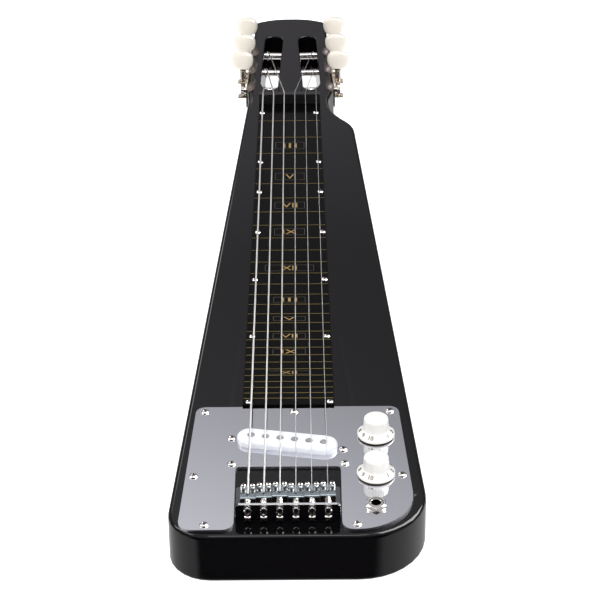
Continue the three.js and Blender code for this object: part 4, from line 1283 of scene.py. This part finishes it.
# %% Model one bent saddle
saddle_front_ys = [-0.0106, -0.0096, -0.0087, -0.0099, -0.0092, -0.0085]
string_diameters = [0.0014 * share for share in (1, 0.82, 0.66, 0.46, 0.36, 0.3)]
string_level = 0.0502
bridge_spacing = 0.0108
nut_spacing = 0.00927
saddle_width = 0.0104
sheet_metal = 0.0015
crown_length = 0.0062
leg_drop = 0.0066
ramp_length = 0.0034
ledge_length = 0.008
ledge_top = body_top + 0.0085
lip_length = 0.0008
bend_radius = 0.0011
sheet_edge = 0.00018
string_rise = 0.0006
slot_depth = 0.006
screw_level = 0.0472
screw_hole_radius = 0.0015
screw_hole_depth = 0.006


def crown_top(i):
    return string_level - string_diameters[i] / 2 - running_gap


def bridge_x(i):
    return (i - (string_count - 1) / 2) * bridge_spacing


def nut_x(i):
    return (i - (string_count - 1) / 2) * nut_spacing


def bent_sheet(top):
    """The saddle's bent strip, with its crown's front edge on Y = 0."""
    bends = [
        (-crown_length, top), (0, top), (ramp_length, ledge_top),
        (ramp_length + ledge_length, ledge_top),
    ]
    pick()
    bpy.ops.mesh.primitive_plane_add(size=1)
    sheet = bpy.context.object
    sheet.scale = (saddle_width, leg_drop, 1)
    place_piece(sheet, (0, -crown_length, top - leg_drop / 2), about_x=math.pi / 2)
    pick_edges(sheet, lambda a, b: min(a.z, b.z) > top - point_tolerance)
    for (y, z), (next_y, next_z) in zip(bends, bends[1:]):
        bpy.ops.mesh.extrude_region_move(
            TRANSFORM_OT_translate={"value": (0, next_y - y, next_z - z)})
    leave_edit()

    def on_one_bend(a, b):
        return any(
            math.dist(a.yz, bend) < point_tolerance and math.dist(b.yz, bend) < point_tolerance
            for bend in bends[:-1])

    pick_edges(sheet, on_one_bend)
    bpy.ops.mesh.bevel(offset=bend_radius, segments=5, profile=0.5, affect="EDGES")
    leave_edit()
    edit_all(sheet)
    bpy.ops.mesh.normals_make_consistent(inside=False)
    leave_edit()
    upward = sum(face.normal.z * face.area for face in sheet.data.polygons)
    modify(sheet, "metal", "SOLIDIFY", thickness=sheet_metal, offset=-1 if upward > 0 else 1)
    face_outwards(sheet)
    return sheet


# %% Model one height screw
grub_radius = 0.0019
grub_bottom = body_top + 0.002
grub_top = ledge_top + 0.004
grub_y = ramp_length + ledge_length - 0.0034
grub_x = 0.0031
grub_recess_radius = 0.00095
grub_recess_depth = 0.0018
master_grub = turned([
    (0.0008, grub_bottom), (grub_radius, grub_bottom + 0.0006), (grub_radius, grub_top - 0.0014),
    (grub_radius * 0.96, grub_top - 0.0009), (grub_radius * 0.84, grub_top - 0.0005),
    (grub_radius * 0.7, grub_top - 0.0002), (grub_radius * 0.55, grub_top),
], sides=32)
cut(master_grub, cylinder(grub_recess_radius, grub_recess_depth * 2, (0, 0, grub_top), sides=6))
print("height screw with", len(master_grub.data.polygons), "faces")

# %% Set the saddles with their height screws
for i in range(string_count):
    sheet = bent_sheet(crown_top(i))
    break_y = -lip_length - string_diameters[i] / 2 - running_gap
    opening = string_diameters[i] + running_gap * 2
    slot_bar = block(
        (opening, opening + string_rise, slot_depth), (0, break_y - string_rise / 2, crown_top(i)))
    screw_hole = cylinder(
        screw_hole_radius, screw_hole_depth, (0, -crown_length, screw_level), sides=24,
        about_x=math.pi / 2)
    cut(sheet, slot_bar, screw_hole)
    soften(sheet, sheet_edge, segments=1, angle=50)
    place_piece(sheet, (bridge_x(i), saddle_front_ys[i], 0))
    hand_over(sheet, f"bent_saddle_{i + 1}", f"saddle_{i + 1}", saddle_chrome, f"saddle_{i + 1}",
              slot="satin_chrome")
    # The rear leg's faces, which face the tail and lie in the saddle's shadow, get painted shade.
    leg_level = crown_top(i) - sheet_metal
    shade_faces(sheet, recess_shade, lambda place, normal: normal.y < -0.7 and place.z < leg_level)
    for side, sign in side_signs.items():
        middle = Vector((bridge_x(i) + sign * grub_x, saddle_front_ys[i] + grub_y))
        grub = place_piece(own_copy(master_grub), (*middle, 0))
        hand_over(grub, f"height_screw_{i + 1}_{side}", f"saddle_{i + 1}", screw_nickel,
                  f"saddle_{i + 1}", slot="screw_steel")
        shade_faces(grub, recess_shade, lambda place, normal: (
            grub_top - grub_recess_depth - 0.0002 < place.z < grub_top - point_tolerance
            and (place.xy - middle).length < grub_recess_radius))
bpy.data.objects.remove(master_grub)
print("saddles with height screws:", string_count)

# %% [markdown]
# Each saddle is drawn back by a long screw through the rear wall, with a spring round it that
# keeps it tight. The spring is a helix from the wall to the saddle.

# %% Measures and helpers for the long screws and their springs
wall_rear_y = bridge_low[1]
wall_front_y = wall_rear_y + 0.0022
spring_radius = 0.0019
spring_wire = 0.00032
spring_turns = 7
spring_steps = 16
head_length = 0.0024
head_radius = 0.0024
shank_radius = 0.0012
cross_sizes = (0.0028, 0.0007, 0.0018)
cross_shade_depths = (0.00005, 0.0011)
cross_shade_radius = 0.0013
# How far each screw's cross is turned from the last one's.
cross_turn = 0.4


def wire_along(route, radius, resolution):
    """A round wire along a route, as a mesh with closed ends."""
    curve = bpy.data.curves.new("wire", "CURVE")
    curve.dimensions = "3D"
    curve.bevel_depth = radius
    curve.bevel_resolution = resolution
    curve.use_fill_caps = True
    spline = curve.splines.new("POLY")
    spline.points.add(len(route) - 1)
    for point, place in zip(spline.points, route):
        point.co = (*place, 1)
    piece = bpy.data.objects.new("wire", curve)
    bpy.context.scene.collection.objects.link(piece)
    pick(piece)
    bpy.ops.object.convert(target="MESH")
    return bpy.context.object


def helix(radius, wire, turns, start, end, steps, resolution=3):
    """A round wire wound about the Y axis from start to end, as a mesh."""
    last = turns * steps
    route = []
    for i in range(last + 1):
        angle = 2 * math.pi * i / steps
        y = start + (end - start) * i / last
        route.append((radius * math.cos(angle), y, radius * math.sin(angle)))
    return wire_along(route, wire, resolution)


# %% Set the intonation screws and their springs
for i in range(string_count):
    low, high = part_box(f"intonation_screw_{i + 1}")
    length = high[1] - low[1]
    screw = turned([
        (0.00125, 0), (0.0019, 0.0002), (head_radius, 0.0008), (head_radius, head_length - 0.0002),
        (0.0023, head_length), (shank_radius, head_length + 0.0001),
        (shank_radius, length - 0.0005), (0.0008, length),
    ], sides=32)
    cut(screw, *[
        block(cross_sizes, about_z=quarter * math.pi / 2 + cross_turn * i)
        for quarter in (0, 1)])
    place_piece(screw, (bridge_x(i), low[1], screw_level), about_x=-math.pi / 2)
    hand_over(screw, f"long_screw_{i + 1}", f"intonation_screw_{i + 1}", screw_nickel,
              f"intonation_screw_{i + 1}", slot="screw_steel")
    shade_faces(screw, recess_shade, lambda place, normal: (
        cross_shade_depths[0] < place.y - low[1] < cross_shade_depths[1]
        and math.dist(place.xz, (bridge_x(i), screw_level)) < cross_shade_radius))
    leg_y = saddle_front_ys[i] - crown_length
    spring = helix(spring_radius, spring_wire, spring_turns, wall_front_y + spring_wire,
                   leg_y - spring_wire, spring_steps)
    place_piece(spring, (bridge_x(i), 0, screw_level))
    bend = ("instrument", f"saddle_{i + 1}", (bridge_x(i), wall_front_y, screw_level),
            (bridge_x(i), leg_y, screw_level))
    hand_over(spring, f"saddle_spring_{i + 1}", bend, screw_nickel, slot="screw_steel")
print("intonation screws and springs:", string_count)

# %% [markdown]
# ## The strings
# A string is one wire from its ball end behind the wall, up through its saddle, over the nut and
# round its roller. It follows the same route as the solid string, and its ball end is a small
# turned ring.

# %% Work out a string's route
nut_front_y = scale_length + running_gap
nut_back_y = nut_front_y + 0.005
winding_inset = 0.015
winding_turns = 1.25
winding_steps = 24
winding_gap = 0.0005
string_hole_level = body_top + 0.0032
ball_radius = 0.0022
ball_waist = 0.0015
ball_bore = 0.0009
ball_half_length = 0.00205
wound_strings = 3


def string_side(i):
    return "left" if i < rows_per_side else "right"


def string_row(i):
    return i if i < rows_per_side else string_count - 1 - i


def winding_route(i):
    """The string's turns round its roller, from the top of the roller over its far side."""
    radius = roller_radius + running_gap + string_diameters[i] / 2
    pitch = string_diameters[i] + winding_gap
    places = []
    for step in range(int(winding_turns * winding_steps) + 1):
        turns = step / winding_steps
        angle = math.pi / 2 - turns * 2 * math.pi
        places.append(on_side(
            string_side(i), turns * pitch - winding_inset,
            row_place(string_row(i)) + math.cos(angle) * radius,
            roller_height + math.sin(angle) * radius))
    return places


def string_route(i):
    break_y = saddle_front_ys[i] - lip_length - string_diameters[i] / 2 - running_gap
    ball_y = wall_rear_y - running_gap - ball_radius
    return [
        Vector((bridge_x(i), ball_y, string_hole_level)),
        Vector((bridge_x(i), break_y - string_rise, string_hole_level)),
        Vector((bridge_x(i), break_y, string_level)),
        Vector((nut_x(i), nut_front_y, string_level)),
        Vector((nut_x(i), nut_back_y, string_level)),
        *winding_route(i),
    ]


# %% Make the strings and their ball ends
for i in range(string_count):
    wound = i < wound_strings
    slot = "wound_string" if wound else "plain_string"
    route = string_route(i)
    wire = wire_along(route, string_diameters[i] / 2, 4)
    hand_over(wire, f"round_string_{i + 1}", "instrument", wound_wire if wound else plain_wire,
              f"string_{i + 1}", slot=slot, angle=60)
    ball = turned([
        (ball_bore, -ball_half_length), (ball_radius, -ball_half_length), (ball_radius, -0.001),
        (ball_waist, -0.0005), (ball_waist, 0.0005), (ball_radius, 0.001),
        (ball_radius, ball_half_length), (ball_bore, ball_half_length),
    ], sides=28, ring=True)
    place_piece(ball, route[0], about_y=math.pi / 2)
    hand_over(ball, f"ball_end_{i + 1}", "instrument", screw_nickel, f"string_{i + 1}", slot=slot)
    print("string", i + 1, "is", round(string_diameters[i] * 1000, 2), "mm thick")

# %% [markdown]
# ## The knobs
# A knob is one moulding: a skirt with a dial, a slope and a fluted grip. It is raised ring by
# ring from the roof of its hollow underside, down and round the skirt and up to the top. The
# flutes are made by drawing every other pair of points inwards. The dial numbers are printed on
# the slope, and the underside gets painted shade, a dark olive for the shadow under the knob, on a
# rougher finish.

# %% Model a fluted knob
knob_rim = 0.01315
knob_height = 0.0136
hollow_share = 0.72
hollow_height = 0.0034
# The profile in shares of the rim's radius and of the height.
knob_steps = [
    (hollow_share, hollow_height / knob_height), (hollow_share, 0), (0.955, 0), (1, 0.015),
    (1, 0.095), (0.99, 0.115), (0.96, 0.14), (0.88, 0.223), (0.80, 0.305), (0.728, 0.38),
    (0.705, 0.4), (0.692, 0.44), (0.672, 0.6), (0.666, 0.75), (0.66, 0.9), (0.648, 0.96),
    (0.62, 0.99), (0.58, 1),
]
knob_sides = 120
flute_share = 0.978
fluted_heights = (0.42, 0.955)
dial_numbers = 10
dial_first = math.radians(45.8)
dial_step = math.radians(32.5)
dial_radius = 0.01125
dial_height = 0.00345
dial_slope = math.radians(47)
dial_size = 0.0042
dial_print_depth = 0.0004


def fluted_knob():
    """A knob standing on the origin."""
    knob = turned([(knob_rim * r, knob_height * z) for r, z in knob_steps], sides=knob_sides)

    def in_flute(place):
        column = round(math.atan2(place.y, place.x) / (2 * math.pi) * knob_sides) % 4
        level = place.z / knob_height
        return column in (0, 1) and fluted_heights[0] < level < fluted_heights[1]

    pick_points(knob, in_flute)
    bpy.ops.transform.resize(value=(flute_share, flute_share, 1), center_override=(0, 0, 0))
    leave_edit()
    return knob


def dial_print():
    """The dial's numbers on the skirt's slope, round the origin."""
    prints = []
    for number in range(1, dial_numbers + 1):
        words = flat_words(str(number), dial_size, dial_print_depth)
        angle = dial_first + (number - 1) * dial_step
        place_piece(words, (0, -dial_radius, dial_height), about_x=dial_slope)
        prints.append(place_piece(words, about_z=angle))
    return joined(*prints)


# %% Set the knobs with their numbers
underside_height = 0.0001
for control in ("volume", "tone"):
    low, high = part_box(f"{control}_knob")
    foot = ((low[0] + high[0]) / 2, (low[1] + high[1]) / 2, low[2])
    knob = hand_over(
        place_piece(fluted_knob(), foot), f"fluted_{control}_knob", f"{control}_control",
        knob_parchment, f"{control}_knob", slot="parchment_plastic", angle=30)
    # The underside and the hollow get the painted shade.
    shade_faces(knob, knob_shade, lambda place, normal: place.z < foot[2] + underside_height or (
        place.z < foot[2] + hollow_height + underside_height
        and math.dist(place.xy, foot[:2]) < knob_rim * hollow_share * 1.02))
    hand_over(place_piece(dial_print(), foot), f"{control}_dial_print", f"{control}_control",
              knob_print, slot="parchment_plastic")
    repaint(f"{control}_potentiometer", dull_steel)
    repaint(f"{control}_shaft", aged_nickel)
print("knobs with", dial_numbers, "numbers each")

# %% [markdown]
# ## The jack
# The socket's threaded bushing comes up through the plate, and a washer and a hex nut hold it.
# The bushing and the washer are turned rings. The nut starts as a bar of six sides, its corners
# are taken off by its overlap with a double cone, and it is bored last.

# %% Model the jack
jack_low, jack_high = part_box("jack_socket")
jack_x, jack_y = (jack_low[0] + jack_high[0]) / 2, (jack_low[1] + jack_high[1]) / 2
plate_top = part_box("control_plate")[1][2]
case_radius = 0.0058
bushing_radius = 0.0047
bore_radius = 0.0035
bore_bottom = jack_low[2] + 0.002
socket = turned([
    (case_radius, jack_low[2]), (case_radius, body_top), (bushing_radius, body_top),
    (bushing_radius, jack_high[2] - 0.0003), (0.0045, jack_high[2]),
    (bore_radius + 0.0001, jack_high[2]), (bore_radius, jack_high[2] - 0.0001),
    (bore_radius, bore_bottom), (0.0004, bore_bottom), (0.0003, jack_low[2]),
], ring=True)
hand_over(place_piece(socket, (jack_x, jack_y, 0)), "turned_jack_socket", "instrument",
          screw_nickel, "jack_socket", slot="screw_steel")
shade_faces(socket, recess_shade, lambda place, normal: (
    place.z < jack_high[2] - 0.0002
    and math.dist(place.xy, (jack_x, jack_y)) < bore_radius * 1.02))

washer_height = 0.0008
washer = turned([
    (0.005, 0), (0.007, 0), (0.007, 0.0006), (0.0068, washer_height), (0.005, washer_height),
], sides=64, ring=True)
hand_over(place_piece(washer, (jack_x, jack_y, plate_top)), "pressed_washer", "instrument",
          screw_nickel, "jack_washer", slot="screw_steel")

# %% Model the hex nut
nut_corner_radius = 0.00745
nut_height = 0.0031
nut_bore = 0.005
nut_bore_depth = 0.012
nut_flat_radius = nut_corner_radius * math.cos(math.pi / 6)
nut_chamfer = (nut_corner_radius - nut_flat_radius) * 1.1
hex_nut = cylinder(nut_corner_radius, nut_height, (0, 0, nut_height / 2), sides=6)
chamfer_cone = turned([
    (nut_flat_radius * 0.96, -0.00001), (nut_corner_radius * 1.01, nut_chamfer),
    (nut_corner_radius * 1.01, nut_height - nut_chamfer),
    (nut_flat_radius * 0.96, nut_height + 0.00001),
], sides=96)
modify(hex_nut, "chamfer", "BOOLEAN", operation="INTERSECT", solver="EXACT", object=chamfer_cone)
bpy.data.objects.remove(chamfer_cone)
cut(hex_nut, cylinder(nut_bore, nut_bore_depth))
hand_over(place_piece(hex_nut, (jack_x, jack_y, plate_top + washer_height)), "hex_nut",
          "instrument", screw_nickel, "jack_nut", slot="screw_steel")
print("jack at", round(jack_x, 4), round(jack_y, 4))

# %% [markdown]
# ## The tuners
# Three upright tuners stand on each side. The button and its ferrule sit on a worm shaft between
# two tabs, and the worm turns a gear on the end of the string roller. The button is a block rounded
# by subdivision and a little narrower below, and the worm's thread is a helix round its shaft.

# %% Model one button and one worm
button_sizes = (0.0194, 0.0094, 0.0176)
button_top = 0.0642
button_bottom = button_top - button_sizes[2]
button_taper = (0.88, 0.9, 1)
collar_radius = 0.003
tab_level = 0.0073
tab_thickness = 0.001
worm_root = 0.0017
worm_radius = 0.0025
shaft_radius = 0.0015
thread_wire = 0.0005
thread_turns = 6
thread_steps = 20


def oval_button():
    """The oval button in a side's frame, with its worm's middle on the origin."""
    pick()
    bpy.ops.mesh.primitive_cube_add(size=2)
    button = bpy.context.object
    edit_all(button)
    bpy.ops.mesh.subdivide(number_cuts=1, smoothness=0.55)
    leave_edit()
    pick_points(button, lambda place: place.z < -0.5)
    bpy.ops.transform.resize(value=button_taper, center_override=(0, 0, -1))
    leave_edit()
    modify(button, "round", "SUBSURF", levels=4, render_levels=4)
    fit_sizes(button, button_sizes)
    return place_piece(button, (0, 0, (button_top + button_bottom) / 2 - worm_centre_height))


def worm_shaft():
    """The shaft with its rivet and collars, and the worm's thread."""
    foot = -tab_level - tab_thickness / 2 - running_gap
    head = -foot
    inside = tab_level - tab_thickness / 2 - running_gap
    neck = button_bottom - worm_centre_height
    shaft = turned([
        (0.0016, foot - 0.0008), (0.0021, foot - 0.0005), (0.0021, foot), (shaft_radius, foot),
        (shaft_radius, -inside), (worm_root, -inside), (worm_root, inside),
        (shaft_radius, inside), (shaft_radius, head), (0.0023, head),
        (worm_radius, head + 0.0002), (worm_radius, neck - 0.0016), (0.0028, neck - 0.0013),
        (collar_radius, neck - 0.001), (collar_radius, neck + 0.001),
        (collar_radius * 0.9, neck + 0.003),
    ], sides=32)
    thread = helix(worm_radius - thread_wire, thread_wire, thread_turns,
                   -inside + thread_wire, inside - thread_wire, thread_steps, resolution=2)
    return joined(shaft, place_piece(thread, about_x=math.pi / 2))


# %% Model one roller with its gear
gear_teeth = 14
gear_radius = worm_offset - worm_radius - running_gap
gear_root = 0.0035
gear_thickness = 0.0028
tooth_height = gear_radius - gear_root * math.cos(math.pi / gear_teeth / 2) - 0.00008
tooth_edge = 0.00015
groove_radius = roller_radius * 0.9


def geared_roller(sign):
    """A roller along X with its gear outside the head, its axis through the origin."""
    inner = slot_inset + slot_width / 2 + roller_seat_depth - running_gap
    outer = worm_stand_off + gear_thickness / 2
    rod = turned([
        (roller_radius * 0.6, -outer), (roller_radius, -outer), (roller_radius, 0.0035),
        (groove_radius, 0.0037), (groove_radius, 0.0047), (roller_radius, 0.0049),
        (roller_radius, inner - 0.0004), (groove_radius, inner),
    ], sides=36)
    gear = cylinder(gear_root, gear_thickness, (0, 0, -worm_stand_off), sides=gear_teeth * 2)

    def on_tooth(face):
        turn = math.atan2(face.normal.y, face.normal.x) / (2 * math.pi)
        upright = abs(face.normal.z) < upright_normal
        return upright and round(turn * gear_teeth * 2 - 0.5) % 2 == 0

    pick_faces(gear, on_tooth)
    bpy.ops.mesh.extrude_faces_move(TRANSFORM_OT_shrink_fatten={"value": tooth_height})
    leave_edit()
    face_outwards(gear)
    soften(gear, tooth_edge, segments=1)
    return place_piece(joined(rod, gear), about_y=-sign * math.pi / 2)


# %% Stand the tuners on the head
for i in range(string_count):
    side, row = string_side(i), string_row(i)
    sign = side_signs[side]
    number = i + 1
    worm_place = (worm_stand_off, row_place(row) + worm_offset, worm_centre_height)
    button = stand_on_side(oval_button(), side, *worm_place)
    hand_over(button, f"oval_button_{number}", f"tuner_{number}", button_pearl,
              f"tuner_button_{number}", slot="cream_plastic", angle=60)
    worm = stand_on_side(worm_shaft(), side, *worm_place)
    hand_over(worm, f"worm_{number}", f"tuner_{number}", aged_nickel, f"tuner_button_{number}",
              slot="aged_nickel", angle=40)
    roller = stand_on_side(geared_roller(sign), side, 0, row_place(row), roller_height)
    hand_over(roller, f"geared_roller_{number}", f"roller_{number}", screw_nickel,
              f"string_roller_{number}", slot="screw_steel")
print("tuners:", string_count)
